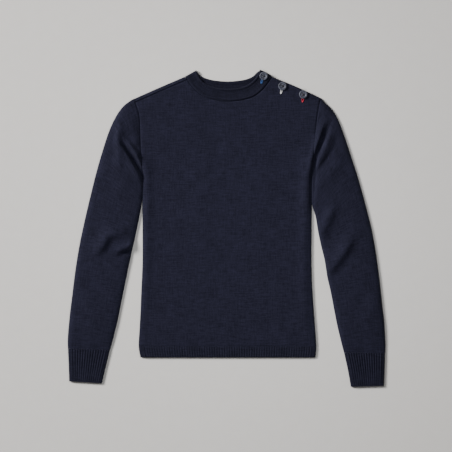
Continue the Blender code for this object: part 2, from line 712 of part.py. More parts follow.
def buttonhole(spec, finish, name):
    """The bound edge of a buttonhole: a ring of thread round a slit that starts under its button."""
    end = np.array([spec.slit_end_across, spec.slit_end_up])
    start = np.array([spec.across, spec.up])
    run = end - start
    length = math.hypot(*run)
    run /= length
    square = np.array([-run[1], run[0]])
    near, far = BUTTONHOLE_START, length - BUTTONHOLE_HALF_WIDTH - BINDING_WIDTH / 2
    quarter = math.pi / 2
    stations = [(far, turn) for turn in np.linspace(-quarter, quarter, BUTTONHOLE_END_STEPS + 1)]
    stations += [(at, quarter) for at in np.linspace(far, near, BUTTONHOLE_SIDE_STEPS + 1)[1:-1]]
    stations += [(near, turn) for turn in np.linspace(quarter, 3 * quarter, BUTTONHOLE_END_STEPS + 1)]
    stations += [(at, 3 * quarter) for at in np.linspace(near, far, BUTTONHOLE_SIDE_STEPS + 1)[1:-1]]
    points = []
    for at, turn in stations:
        outward = run * math.cos(turn) + square * math.sin(turn)
        centre = start + run * at + outward * BUTTONHOLE_HALF_WIDTH
        for aside, rise in BINDING_DOME:
            place = centre + outward * aside * BINDING_WIDTH / 2
            points.append((*place, resting(*place) + SEAM + rise * BINDING_RISE))
    count = len(BINDING_DOME)
    faces = []
    for k in range(len(stations)):
        after = (k + 1) % len(stations)
        for i in range(count):
            beside = (i + 1) % count
            faces.append((k * count + i, after * count + i, after * count + beside, k * count + beside))
    return new_object(name, points, faces, finish)


def main():
    clear_scene()
    parts = bpy.data.collections.new("sailor sweater")
    cutters = bpy.data.collections.new("cutters")
    bpy.context.scene.collection.children.link(parts)
    bpy.context.scene.collection.children.link(cutters)
    cutters.hide_render = True

    pieces = [
        front_panel(),
        back_panel(),
        hem("hem_front", True),
        hem("hem_back", False),
        sleeve("sleeve_right", RIGHT_SLEEVE, 0),
        sleeve("sleeve_left", LEFT_SLEEVE, 1),
        cuff("cuff_right", RIGHT_CUFF),
        cuff("cuff_left", LEFT_CUFF),
        neckband(),
    ]
    for spec, thread in zip(BUTTONS, ("blue", "white", "red")):
        pieces.append(button(spec))
        pieces.append(buttonhole(spec, f"{thread} thread", f"buttonhole_{thread}"))

    for piece in pieces:
        parts.objects.link(piece)
    for obj in bpy.data.objects:
        if obj.name.startswith("drill_"):
            cutters.objects.link(obj)

    # The garment's middle, at the surface it lies on, goes to the origin
    bpy.context.view_layer.update()
    corners = np.array([piece.matrix_world @ v.co for piece in pieces for v in piece.data.vertices])
    low, high = corners.min(axis=0), corners.max(axis=0)
    ground = bpy.data.objects.new("sweater", None)
    parts.objects.link(ground)
    for obj in list(parts.objects) + list(cutters.objects):
        if obj is not ground:
            obj.parent = ground
    ground.location = (-(low[0] + high[0]) / 2, -(low[1] + high[1]) / 2, -low[2])


main()
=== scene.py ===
"""The looks of a navy wool sailor sweater that lies flat on its back, its left shoulder buttoned.

Sizes are in millimetres until a mesh is made. Places are (across, up): across from the garment's centre
line, towards the wearer's left, and up from the hem's lower edge towards the neck. Heights are above the
surface that the sweater lies on. Right and left are the wearer's, and the wearer's right has across < 0.
"""

import math
from collections import namedtuple

import bmesh
import bpy
import numpy as np
from mathutils import Matrix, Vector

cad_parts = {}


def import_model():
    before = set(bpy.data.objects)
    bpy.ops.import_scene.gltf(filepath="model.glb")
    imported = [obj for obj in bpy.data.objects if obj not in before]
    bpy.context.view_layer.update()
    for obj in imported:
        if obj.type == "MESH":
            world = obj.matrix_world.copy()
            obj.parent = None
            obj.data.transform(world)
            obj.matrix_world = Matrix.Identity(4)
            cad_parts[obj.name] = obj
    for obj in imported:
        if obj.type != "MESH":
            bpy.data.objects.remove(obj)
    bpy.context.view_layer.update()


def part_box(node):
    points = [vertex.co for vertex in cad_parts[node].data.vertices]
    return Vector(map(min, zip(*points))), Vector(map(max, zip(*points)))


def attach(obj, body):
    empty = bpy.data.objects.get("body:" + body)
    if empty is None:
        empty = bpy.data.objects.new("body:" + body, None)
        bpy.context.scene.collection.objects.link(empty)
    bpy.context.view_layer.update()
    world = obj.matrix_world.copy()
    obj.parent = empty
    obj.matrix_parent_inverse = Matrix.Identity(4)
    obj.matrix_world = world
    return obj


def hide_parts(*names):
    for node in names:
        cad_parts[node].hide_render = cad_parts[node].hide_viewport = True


MM = 0.001
SHARP_EDGE = math.radians(55)  # cloth that turns more than this shows an edge
HOLE_EDGE = math.radians(50)  # the same for the rims of a button's holes

# Cloth
CLOTH = 2.6  # wall of the knit
AIR = 0.6  # between two layers that lie on each other
SEAM = 0.3  # between two pieces at a seam
RIB_SEAM = 0.1  # what shows of it above a hem or cuff rib
EDGE_TURN = CLOTH + AIR / 2  # outer radius where cloth folds over, and height of the middle between layers
UNDERSIDE = CLOTH + AIR  # of the upper layer, where nothing lifts it
ROLL = 8.0  # width of the rounded side of the body's two layers
SLEEVE_ROLL = 10.0  # the same along a sleeve's edges
SEAM_DROP = 1.5  # how far cloth dips into a sewn seam
SEAM_REACH = 1.7  # and how far from the seam it starts to
SEAM_TUCK = 0.8  # how far a sleeve's edge goes in between the panels' edges

# Body
HEM_RIB = 24.0  # its height
UNDERARM = 382.0
HEM_RIBS = 68  # on each side
RIB_RISE = 0.9
RIB_GROOVE = 0.6  # depth of the grooves in the hem rib's underside
RIB_FADE = (-1.0, 3.0)  # distances from the hem rib's seam over which its ribs grow to their full height
HEM_DIP = 0.3  # share of a sewn seam's dip where the hem rib is knitted on
HEM_EDGE_DROP = 1.2  # how far the hem rounds down at its free edge
STRIP_PUFF = 1.5  # how much higher the strip behind the right shoulder's seam lies in its middle
FORWARD_SEAM = 7.5  # right shoulder seam, forward of the folded edge
BUTTON_STAND = 24.0  # left shoulder underlap, forward of the folded edge
STAND_AIR = 0.45  # over the underlap
STAND_SLOPE = (4.0, 22.0)  # how far past the underlap the front starts and ends coming down
STAND_END = (2.0, 36.0)  # the same past the left shoulder point, on the sleeve
EDGE_BACK = 1.6  # how far the buttoned edge lies inside the fold under it
SHOULDER_BOW = (0.4, 1.4)  # how far the right and the left shoulder line bulge out of straight
BAND_END_BOW = 1.6  # the same for the neckband's ends at the left shoulder
BAND_END_REACH = 8.0  # how far along the band that fades
BAND_END_DIP = 0.6  # share of a sewn seam's dip at the front's end there
BAND_WIDTH = 27.0  # over which the band's stitches are spread

# Sleeves and cuffs
SLEEVE_LOFT = 4.8  # how much higher the sleeve's middle lies than its edges
LOFT_FROM = (0.0, 0.12)  # shares of a sleeve's length, from the cuff, over which its loft grows
LOFT_TO = (0.84, 1.0)  # and over which it fades towards the armhole
CUFF_RIBS = 14  # on each side
CUFF_RIB_RISE = 1.3
CUFF_RIB_GROOVE = 0.7  # depth of the grooves in the underside
CUFF_ROLL = 5.5  # width of a cuff's rounded edges
CUFF_DIP = 0.12  # share of a sewn seam's dip where a cuff is knitted on

# Stitches
WALE = 1.75  # width of a stitch
COURSE = 1.35  # and its height
# How unevenly the yarn took the dye: marks to the metre across and along the cloth, fine detail and strength
HEATHER = (((46, 380), 2.0, 1.1), ((380, 40), 2.0, 0.8), ((360, 330), 3.0, 0.8), ((36, 32), 3.0, 0.45))

# The body's two sides and, above the underarm, its armholes: up, and how far across on the right and the left
SIDES = (
    (0.0, -184.6, 186.2), (11.0, -187.0, 188.1), (24.0, -188.6, 188.7), (37.0, -188.2, 188.0),
    (62.0, -186.6, 186.3), (100.0, -184.6, 183.4), (150.0, -182.6, 180.2), (203.0, -180.4, 178.5),
    (292.0, -180.4, 178.9), (345.0, -180.4, 179.8), (382.0, -180.4, 180.2), (402.0, -180.8, 181.7),
    (448.0, -184.2, 184.2), (480.0, -185.3, 187.6), (512.0, -187.0, 191.0), (530.0, -191.6, 194.0),
    (551.0, -199.2, 198.1),
)

Place = namedtuple("Place", "across up")
RIGHT_TIP = Place(-198.5, 549.3)  # shoulder point at the armhole
LEFT_TIP = Place(198.1, 551.0)
RIGHT_NECK = Place(-89.9, 596.8)  # shoulder point at the neck seam
LEFT_NECK = Place(95.4, 596.2)
RIGHT_RIM = Place(-66.0, 610.2)  # the same point at the neckband's upper edge
LEFT_RIM = Place(69.4, 611.3)

# Neck seam and neckband's upper edge, from the wearer's right to the left
FRONT_SEAM = (
    RIGHT_NECK, (-81.4, 584.0), (-72.0, 571.6), (-56.4, 558.5), (-38.1, 550.0), (-16.8, 545.3),
    (3.0, 544.0), (27.3, 546.0), (48.6, 551.5), (60.0, 557.0), (72.0, 566.0), (82.4, 577.8), LEFT_NECK,
)
BACK_SEAM = (
    RIGHT_NECK, (-74.0, 582.0), (-55.0, 571.0), (-28.1, 562.3), (1.7, 559.6), (31.5, 562.3), (60.0, 571.0),
    (79.0, 582.0), LEFT_NECK,
)
FRONT_RIM = (
    RIGHT_RIM, (-63.0, 602.6), (-59.0, 595.0), (-52.2, 586.8), (-41.5, 579.8), (-22.0, 573.2),
    (1.7, 570.6), (24.0, 572.8), (43.0, 579.6), (55.6, 589.6), (62.8, 598.6), LEFT_RIM,
)
BACK_RIM = (
    RIGHT_RIM, (-61.0, 602.4), (-51.5, 595.4), (-31.0, 589.2), (1.7, 586.4), (34.0, 589.6), (52.5, 596.2),
    (62.0, 604.9), LEFT_RIM,
)

# Each row crosses a sleeve or cuff: the place (across, up) on its outer edge, the place on its inner edge,
# and the row's share of the armhole's curve
RIGHT_SLEEVE = (
    (-339.1, 18.5, -249.6, 15.8, 0.0), (-339.3, 41.0, -244.1, 34.5, 0.0),
    (-335.3, 87.8, -233.6, 77.1, 0.0), (-330.1, 130.4, -225.9, 115.4, 0.0),
    (-322.5, 190.0, -213.7, 175.1, 0.0), (-314.0, 241.1, -204.2, 219.8, 0.0),
    (-303.1, 292.2, -196.0, 256.0, 0.0), (-291.0, 343.4, -186.6, 300.8, 0.0),
    (-278.2, 394.5, -181.3, 330.6, 0.05), (-263.3, 445.6, -180.0, 349.7, 0.15),
    (-250.3, 483.9, -179.8, 362.5, 0.3), (-235.8, 513.8, -179.8, 371.0, 0.5),
    (-221.9, 532.9, -179.9, 376.4, 0.75), (-209.6, 543.1, -180.2, 379.6, 0.9),
    (-199.4, 549.6, -180.9, 382.0, 1.0),
)
LEFT_SLEEVE = (
    (335.0, 8.9, 247.7, 10.0, 0.0), (335.3, 32.4, 242.4, 30.2, 0.0), (332.9, 75.0, 233.2, 68.6, 0.0),
    (328.7, 111.2, 226.5, 102.7, 0.0), (324.4, 151.7, 219.6, 138.9, 0.0),
    (319.1, 194.3, 212.3, 170.8, 0.0), (312.0, 241.1, 206.6, 206.4, 0.0),
    (304.4, 279.5, 199.2, 237.0, 0.0), (291.4, 330.6, 192.6, 268.2, 0.0),
    (277.1, 381.7, 187.4, 299.4, 0.0), (260.7, 432.8, 179.6, 325.1, 0.1),
    (247.9, 471.2, 179.2, 345.4, 0.25), (234.9, 505.2, 179.4, 360.3, 0.5),
    (221.4, 527.2, 179.6, 370.9, 0.75), (208.0, 540.2, 179.8, 377.4, 0.9),
    (199.0, 551.3, 180.7, 382.0, 1.0),
)
RIGHT_CUFF = (
    (-336.3, -50.7, -266.7, -55.0, 0.0), (-337.4, -16.0, -258.6, -20.0, 0.0),
    (-338.9, 18.1, -249.9, 15.4, 0.0),
)
LEFT_CUFF = (
    (332.3, -60.5, 262.4, -62.6, 0.0), (333.6, -27.0, 256.0, -27.0, 0.0), (334.8, 8.5, 248.0, 9.6, 0.0),
)

Crease = namedtuple("Crease", "height left_width right_width places")
# Soft folds of the upper layer: a ridge stands up, and a trough has a height below nought. The widths are to
# the left and right of the way that the fold's places go.
CREASES = (
    # Right upper sleeve: a ridge down the arm, and a deep trough to the underarm with ridges on both sides
    (6.2, 11.0, 7.4, ((-229, 500), (-231, 484), (-232, 466), (-232, 448), (-231, 430), (-230, 410))),
    (2.2, 14.0, 14.0, ((-233, 440), (-227, 396), (-222, 368), (-217, 340))),
    (6.6, 5.4, 11.0, ((-226, 452), (-219, 438), (-211, 425), (-203, 411), (-195, 398), (-187, 386),
        (-180, 376))),
    (-7.0, 5.0, 5.0, ((-226, 466), (-221, 453), (-214, 444), (-207, 435), (-198, 421), (-190, 407),
        (-184, 396), (-180, 384), (-178, 372))),
    (5.4, 5.0, 4.6, ((-218, 465), (-208, 451), (-199, 440), (-193, 430), (-189, 422))),
    (4.8, 17.0, 4.6, ((-200, 442), (-190, 425), (-183, 410), (-178, 396), (-176, 380))),
    (-2.0, 4.0, 5.0, ((-208, 466), (-201, 458), (-194, 449), (-187, 439))),
    # Right elbow
    (7.4, 9.0, 14.0, ((-222, 254), (-235, 259), (-247, 259), (-256, 254), (-261, 246), (-266, 236),
        (-274, 226), (-285, 216))),
    (7.0, 9.0, 6.4, ((-238, 223), (-229, 228), (-220, 231), (-211, 235), (-202, 241), (-192, 249))),
    (-3.6, 4.0, 5.5, ((-234, 217), (-228, 219), (-220, 222), (-211, 225), (-202, 231), (-194, 238))),
    (1.4, 14.0, 12.0, ((-214, 292), (-220, 276), (-222, 258))),
    # Right forearm
    (-1.0, 12.0, 9.0, ((-300, 180), (-280, 150), (-262, 108))),
    (1.1, 12.0, 12.0, ((-318, 160), (-300, 118), (-286, 76))),
    (-1.0, 9.0, 9.0, ((-322, 60), (-300, 46), (-276, 42))),
    # Left upper sleeve: a deep trough beside the armhole and a softer one that runs to the same point
    (7.0, 4.8, 8.0, ((207, 506), (200, 486), (195, 468), (190, 454), (186, 441), (182, 428),
        (179, 414), (177, 398), (176, 384))),
    (-7.5, 5.0, 5.0, ((220, 500), (213, 486), (208, 477), (204, 467), (198, 452), (192, 437),
        (188, 424), (185, 411), (184, 398), (183, 384), (182, 350), (181, 300))),
    (3.8, 9.0, 4.6, ((226, 488), (219, 472), (213, 458), (208, 446), (202, 432), (194, 415),
        (187, 400))),
    (-2.0, 6.0, 5.0, ((231, 466), (227, 448), (221, 437), (215, 428), (208, 418), (200, 407),
        (193, 396), (187, 384), (181, 374))),
    (2.4, 14.0, 11.0, ((252, 446), (232, 410), (212, 384), (190, 352))),
    # Left elbow
    (6.8, 11.0, 11.0, ((232, 330), (221, 310), (213, 292), (208, 281), (202, 267), (197, 253))),
    (6.8, 9.2, 14.0, ((268, 262), (261, 247), (254, 234), (245, 219), (237, 208), (227, 196),
        (218, 184), (212, 172))),
    # Left forearm
    (-1.0, 10.0, 10.0, ((310, 178), (292, 140), (276, 96))),
    (1.1, 12.0, 12.0, ((318, 128), (304, 92), (292, 58))),
    (-1.0, 9.0, 9.0, ((254, 60), (276, 44), (300, 40))),
    # Body: a fold along each side and, on the rest, broad faint waves
    (2.8, 10.0, 7.0, ((-172, 430), (-170, 372), (-170, 290), (-172, 180), (-177, 60))),
    (0.8, 26.0, 24.0, ((-80, 480), (-66, 360), (-74, 220))),
    (-0.7, 22.0, 26.0, ((-20, 500), (-8, 400), (-18, 260), (-6, 120))),
    (0.8, 24.0, 24.0, ((70, 470), (60, 330), (68, 190), (58, 90))),
    (-0.9, 20.0, 16.0, ((130, 410), (138, 300), (132, 180), (140, 66))),
    (2.8, 8.0, 13.0, ((170, 452), (167, 420), (166, 380), (165, 300), (163, 200), (166, 100),
        (171, 40))),
    (1.9, 6.5, 10.0, ((173, 424), (172, 400), (171, 360), (171, 330), (171, 300))),
    (-0.8, 14.0, 18.0, ((-160, 436), (-110, 420), (-50, 432))),
    (-0.7, 16.0, 14.0, ((160, 446), (104, 424), (56, 434))),
    (0.9, 12.0, 12.0, ((-172, 420), (-140, 450), (-118, 486))),
    (0.9, 12.0, 12.0, ((172, 424), (146, 452), (124, 488))),
)
CREASES = [Crease(*row) for row in CREASES]
CREASE_REACH = 2.6  # widths away, where a fold adds next to nothing

Button = namedtuple("Button", "name across up slit_end_across slit_end_up turn thread")
BUTTONS = (
    Button("neck", 76.9, 597.7, 71.6, 581.6, 16.0, "blue"),
    Button("middle", 116.9, 576.2, 113.3, 559.8, 24.0, "white"),
    Button("shoulder", 161.0, 558.5, 159.4, 541.6, 10.0, "red"),
)
BUTTON_RISE = 1.4  # of its underside over the cloth

# Surface, light and camera
VIEW_MIDDLE = (-1.0, 4.9)  # world millimetres under the middle of the picture
VIEW_WIDTH = 961.0  # that the picture takes in
CAMERA_HEIGHT = 9000.0
SENSOR = 36.0


def smooth_step(value, start, end):
    """0 before start and 1 after end, with a smooth change between them."""
    share = np.clip((value - start) / (end - start), 0, 1)
    return share * share * (3 - 2 * share)


def curve_through(places, steps=8):
    """A smooth curve through these places, as a dense row of points."""
    p = np.array(places, float)
    p = np.vstack([2 * p[0] - p[1], p, 2 * p[-1] - p[-2]])
    points = []
    for k in range(1, len(p) - 2):
        for t in np.arange(steps) / steps:
            bend = 2 * p[k - 1] - 5 * p[k] + 4 * p[k + 1] - p[k + 2]
            turn = 3 * p[k] - p[k - 1] - 3 * p[k + 1] + p[k + 2]
            points.append(p[k] + 0.5 * ((p[k + 1] - p[k - 1]) * t + bend * t**2 + turn * t**3))
    return np.array(points + [p[-2]])


def distances(line):
    """How far along a row of points each one is."""
    return np.concatenate([[0], np.cumsum(np.linalg.norm(np.diff(line, axis=0), axis=1))])


def along(curve, shares):
    """Points at these shares of the curve's length."""
    run = distances(curve)
    return np.stack([np.interp(np.array(shares) * run[-1], run, axis) for axis in curve.T], axis=1)


def distance_to_stretch(across, up, start, end):
    """Distance from a point to the straight stretch between two places."""
    run = np.subtract(end, start)
    share = np.clip(((across - start[0]) * run[0] + (up - start[1]) * run[1]) / (run @ run), 0, 1)
    return np.hypot(across - start[0] - share * run[0], up - start[1] - share * run[1])


def forward(place_from, place_to):
    """Unit direction in the plane, square to a shoulder line and out of the garment."""
    run = np.subtract(place_to, place_from)
    out = np.array([-run[1], run[0]]) / math.hypot(*run)
    return out if out[1] > 0 else -out


def stand_lift(across, up):
    """How far the left shoulder's underlap lifts what lies on it."""
    along_band = distance_to_stretch(across, up, LEFT_RIM, LEFT_NECK)
    along_shoulder = distance_to_stretch(across, up, LEFT_NECK, LEFT_TIP)
    past = np.minimum(along_band, along_shoulder) - BUTTON_STAND
    near = 1 - smooth_step(past, *STAND_SLOPE)
    on_body = 1 - smooth_step(across - LEFT_TIP.across, *STAND_END)
    return (2 * EDGE_TURN + STAND_AIR - UNDERSIDE) * near * on_body


def crease_height(crease, line, across, up):
    """What one fold adds at these places. It fades towards both its ends."""
    run = np.gradient(line, axis=0)
    offset = np.stack([across, up], axis=-1)[:, None, :] - line
    away = np.hypot(offset[..., 0], offset[..., 1])
    nearest = away.argmin(axis=1)
    rows = np.arange(len(across))
    away, offset = away[rows, nearest], offset[rows, nearest]
    on_left = run[nearest, 0] * offset[:, 1] > run[nearest, 1] * offset[:, 0]
    width = np.where(on_left, crease.left_width, crease.right_width)
    share = nearest / (len(line) - 1)
    fade = smooth_step(share, -0.1, 0.3) * (1 - smooth_step(share, 0.7, 1.1))
    return crease.height * fade * np.exp(-((away / width) ** 2))


CREASE_LINES = [curve_through(crease.places, 10) for crease in CREASES]


def lie(across, up, loft=0.0):
    """Height of the upper layer's underside."""
    across, up = np.broadcast_arrays(np.asarray(across, float), np.asarray(up, float))
    lift = stand_lift(across, up)
    height = np.array(UNDERSIDE + loft + lift)
    for crease, line in zip(CREASES, CREASE_LINES):
        reach = CREASE_REACH * max(crease.left_width, crease.right_width)
        low, high = line.min(axis=0) - reach, line.max(axis=0) + reach
        near = (across > low[0]) & (across < high[0]) & (up > low[1]) & (up < high[1])
        if near.any():
            height[near] += crease_height(crease, line, across[near], up[near])
    return softly_above(height, UNDERSIDE + lift)


def softly_above(height, floor, blend=0.5):
    """The greater of the two, with a soft change between them."""
    apart = height - floor
    return floor + (apart + np.sqrt(apart**2 + blend**2)) / 2


def side(up, which):
    """Across-place of the body's right (0) or left (1) edge at this height."""
    edges = np.array(SIDES)
    curve = curve_through(edges[:, [0, 1 + which]], 12)
    return np.interp(up, curve[:, 0], curve[:, 1])


def world(points):
    """Garment millimetres to the frame's metres."""
    return (np.asarray(points, float) + GARMENT_SHIFT) * MM


def set_knit(mesh, knit):
    """Stores each point's place in the cloth, (wale, course) in millimetres, for its material to read."""
    flat = np.zeros((len(knit), 3), np.float32)
    flat[:, :2] = np.asarray(knit) * MM
    mesh.attributes.new("knit", "FLOAT_VECTOR", "POINT").data.foreach_set("vector", flat.ravel())


def new_object(name, data):
    """A new object in the scene."""
    obj = bpy.data.objects.new(name, data)
    bpy.context.scene.collection.objects.link(obj)
    return obj


def show(name, mesh, finish):
    """A smooth-shaded object of this mesh, with this finish."""
    mesh.shade_smooth()
    mesh.materials.append(finish)
    return new_object(name, mesh)


def wall(name, outside, inside, knit, finish, tube=False, kept=None):
    """A closed wall between two grids of points, rows by columns. A tube's last column meets its first."""
    rows, columns = outside.shape[:2]
    index = np.arange(rows * columns).reshape(rows, columns)
    if tube:
        index = np.hstack([index, index[:, :1]])
    quads = np.stack([index[:-1, :-1], index[:-1, 1:], index[1:, 1:], index[1:, :-1]], axis=-1)
    quads = quads.reshape(-1, 4) if kept is None else quads[kept]
    starts, ends = quads.ravel(), np.roll(quads, -1, axis=1).ravel()
    count = rows * columns
    rim = ~np.isin(starts * count + ends, ends * count + starts)
    starts, ends = starts[rim], ends[rim]
    edge_faces = np.stack([ends, starts, starts + count, ends + count], axis=1)
    used, faces = np.unique(np.vstack([quads, quads[:, ::-1] + count, edge_faces]), return_inverse=True)
    faces = faces.reshape(-1, 4)
    points = world(np.concatenate([outside.reshape(-1, 3), inside.reshape(-1, 3)]))[used]
    corners = points[faces]
    if np.einsum("ij,ij->i", corners[:, 0], np.cross(corners[:, 1], corners[:, 2])).sum() < 0:
        faces = faces[:, ::-1]
    mesh = bpy.data.meshes.new(name)
    mesh.from_pydata(points.tolist(), [], faces.tolist())
    set_knit(mesh, np.concatenate([knit.reshape(-1, 2)] * 2)[used])
    obj = show(name, mesh, finish)
    mesh.set_sharp_from_angle(angle=SHARP_EDGE)
    return obj


# A rounded side: shares of its width, from the edge inward, and the share of the full height there
ROLL_SHARES = np.array([0.0, 0.015, 0.06, 0.13, 0.23, 0.36, 0.54, 0.76, 1.0])
ROLL_HEIGHTS = np.sqrt(1 - (1 - ROLL_SHARES) ** 2)
ROW_STEP = 4.0
FIRST_ROWS = (0.0, 0.5, 1.1, 1.9, 3.0, 4.4, 6.5)  # above the hem rib
TOP_OFFSETS = (5.5, 4.0, 2.8, 1.8, 1.0, 0.45, 0.0)  # last rows, below the upper edge
ROLL_FADE = (0.0, 0.12)  # shares of the armhole's height over which the rounded side goes flat


def row_across(left, right, inner_shares):
    """Places across a row, each one's share of the full height at a rounded side, and how far in it is."""
    middle = left + ROLL + np.array(inner_shares) * (right - left - 2 * ROLL)
    places = np.concatenate([left + ROLL * ROLL_SHARES[:-1], middle, right - ROLL * ROLL_SHARES[-2::-1]])
    heights = np.concatenate([ROLL_HEIGHTS[:-1], np.ones(len(middle)), ROLL_HEIGHTS[-2::-1]])
    inset = np.concatenate([ROLL_SHARES[:-1], np.ones(len(middle)), ROLL_SHARES[-2::-1]])
    inward = CLOTH * (1 - inset) * np.where(np.arange(len(places)) < len(places) / 2, 1, -1)
    return places, heights, inward


def seam_dip(distance):
    """How far the outer face dips at this distance from a sewn edge."""
    return SEAM_DROP * np.exp(-((distance / SEAM_REACH) ** 2))


def neck_groove(across):
    """Share of a sewn seam's dip at the neck: it lies flatter towards the shoulders."""
    return 0.5 + 0.5 * smooth_step(across, -75, 0) - 0.4 * smooth_step(across, 45, 85)


def panel_row(left, right, ups, inner_shares, rolled, upper, relief=0.0):
    """Outer and inner points of one row of the front (upper) or the back."""
    places, heights, inward = row_across(left, right, inner_shares)
    heights = 1 - (1 - heights) * rolled
    within = places + inward * rolled
    ups = np.broadcast_to(ups, places.shape)
    if upper:
        middle = EDGE_TURN + SEAM / 2
        under = lie(places, ups)
        dip = seam_dip(np.minimum(places - left, right - places)) * (1 - rolled)
        outer = middle + (under + CLOTH + relief - dip - middle) * heights
        inner = middle + (under - middle) * heights
    else:
        middle = EDGE_TURN - SEAM / 2
        outer = middle * (1 - heights) + relief * heights
        inner = middle + (CLOTH - middle) * heights
    return np.stack([places, ups, outer], axis=1), np.stack([within, ups, inner], axis=1)


def offset_down(curve, distance):
    """A row of points moved square to its own run, down out of the neck."""
    run = np.gradient(curve, axis=0)
    run /= np.linalg.norm(run, axis=1)[:, None]
    return curve + distance * np.stack([run[:, 1], -run[:, 0]], axis=1)


FRONT_STEPS = 80
BACK_STEPS = 70


def bowed(start, end, bow, out):
    """A shoulder line that bulges a little out of straight."""
    shares = np.linspace(0, 1, 21)[:, None]
    return start + shares * np.subtract(end, start) + bow * np.sin(math.pi * shares) * out


def band_edges(seam, rim, steps, folded_left):
    """The neckband's lower and upper edges at shared stations, from the right fold to the left."""
    shares = np.linspace(0, 1, steps + 1)
    edges = []
    for line in (seam, rim):
        places = along(curve_through(line), shares)
        reach = np.exp(-shares * steps / 2)[:, None]
        places -= EDGE_TURN * forward(RIGHT_NECK, RIGHT_RIM) * reach
        if folded_left:
            places -= EDGE_TURN * forward(LEFT_NECK, LEFT_RIM) * reach[::-1]
        edges.append(places)
    return edges


def body_rows(neck, right_line, left_line, shoulder_steps, upper):
    """Rows of a panel from the hem rib to its upper edge, as outer and inner grids, and its neck columns."""

    def top(across):
        on_neck = np.interp(across, neck[:, 0], neck[:, 1])
        on_right = np.interp(across, *np.transpose(right_line))
        on_left = np.interp(across, *np.transpose(left_line))
        return np.where(across < neck[0, 0], on_right, np.where(across > neck[-1, 0], on_left, on_neck))

    # Each armhole ends where it meets the upper edge, which a few rounds find
    ends = []
    for which, tip in enumerate((RIGHT_TIP, LEFT_TIP)):
        up = tip.up
        for _ in range(6):
            up = float(top(side(up, which)))
        ends.append(up)
    right, left = side(ends[0], 0), side(ends[1], 1)
    on_neck = (neck[:, 0] - right - ROLL) / (left - right - 2 * ROLL)
    before = np.linspace(0, on_neck[0], shoulder_steps + 1)[:-1]
    after = np.linspace(on_neck[-1], 1, shoulder_steps + 1)[1:]
    shares = np.concatenate([before, on_neck, after])
    across_top = row_across(right, left, shares)[0]
    outer, inner = [], []
    first_up = HEM_RIB + RIB_SEAM
    below = first_up + np.array(FIRST_ROWS)
    below = np.concatenate([below, np.arange(below[-1] + ROW_STEP, UNDERARM, ROW_STEP)])
    for up in below:
        relief = -HEM_DIP * seam_dip(up - first_up) if upper else 0.0
        rows = panel_row(side(up, 0), side(up, 1), up, shares, 1.0, upper, relief)
        outer.append(rows[0])
        inner.append(rows[1])
    tops = top(across_top)
    steps = int((tops.mean() - TOP_OFFSETS[0] - UNDERARM) / ROW_STEP)
    levels = [(level, 0.0) for level in np.linspace(0, 1, steps + 1)[:-1]]
    levels += [(1.0, TOP_OFFSETS[0] - offset) for offset in TOP_OFFSETS]
    for level, rise in levels:
        ups = UNDERARM + (tops - TOP_OFFSETS[0] - UNDERARM) * level + rise
        at_right = side(UNDERARM + (ends[0] - TOP_OFFSETS[0] - UNDERARM) * level + rise, 0)
        at_left = side(UNDERARM + (ends[1] - TOP_OFFSETS[0] - UNDERARM) * level + rise, 1)
        rolled = 1 - smooth_step(level, *ROLL_FADE)
        relief = -seam_dip(tops - ups) * neck_groove(across_top) if upper else 0.0
        rows = panel_row(at_right, at_left, ups, shares, rolled, upper, relief)
        outer.append(rows[0])
        inner.append(rows[1])
    first = len(ROLL_SHARES) - 1 + shoulder_steps
    return outer, inner, (first, first + len(neck) - 1)


def front_panel(finish):
    """The front, to the forward seam on the right shoulder and to the buttoned edge on the left."""
    out = forward(RIGHT_TIP, RIGHT_NECK)
    seam_line = np.array([RIGHT_TIP, RIGHT_NECK]) - (FORWARD_SEAM + SEAM) * out
    past_end = 0.2 * (seam_line[1] - seam_line[0])
    seam_line = bowed(seam_line[0], seam_line[1], SHOULDER_BOW[0], out)
    seam_line = np.vstack([seam_line[0] - past_end, seam_line, seam_line[-1] + past_end])
    neck = offset_down(band_edges(FRONT_SEAM, FRONT_RIM, FRONT_STEPS, False)[0], SEAM)
    # The front's neck starts at the corner where the two lines cross
    over = neck[:, 1] - np.interp(neck[:, 0], *np.transpose(seam_line))
    below = int(np.argmax(over < 0))
    share = over[below - 1] / (over[below - 1] - over[below])
    corner = neck[below - 1] + share * (neck[below] - neck[below - 1])
    neck = np.vstack([corner, neck[below:]])
    out = forward(LEFT_NECK, LEFT_TIP)
    buttoned = bowed(neck[-1] - EDGE_BACK * out * [0, 1], LEFT_TIP - EDGE_BACK * out, SHOULDER_BOW[1], out)
    outer, inner, _ = body_rows(neck, seam_line, buttoned, shoulder_steps=24, upper=True)
    outer = np.array(outer)
    return wall("front_panel_knit", outer, np.array(inner), outer[..., :2], finish)


def fold_directions(columns, corners):
    """Where each column of the back goes as it folds: along the armholes, and along the neckband's folds."""
    at_ends = []
    for which, tip in enumerate((RIGHT_TIP, LEFT_TIP)):
        run = np.array([side(tip.up, which) - side(tip.up - 10, which), 10.0])
        at_ends.append(run / math.hypot(*run))
    at_neck = (forward(RIGHT_NECK, RIGHT_RIM), forward(LEFT_NECK, LEFT_RIM))
    where = np.arange(columns)
    stops = (0, corners[0], corners[1], columns - 1)
    stages = np.array([at_ends[0], at_neck[0], at_neck[1], at_ends[1]])
    outs = np.stack([np.interp(where, stops, stages[:, k]) for k in (0, 1)], axis=1)
    return outs / np.linalg.norm(outs, axis=1)[:, None]


def fold_over(outer, inner, line, outs, turn):
    """Adds a row of cloth that turns round a folded edge, this many radians up from the underside."""
    for grid, radius in ((outer, EDGE_TURN), (inner, EDGE_TURN - CLOTH)):
        height = np.full((len(line), 1), EDGE_TURN - radius * math.cos(turn))
        grid.append(np.hstack([line + outs * radius * math.sin(turn), height]))


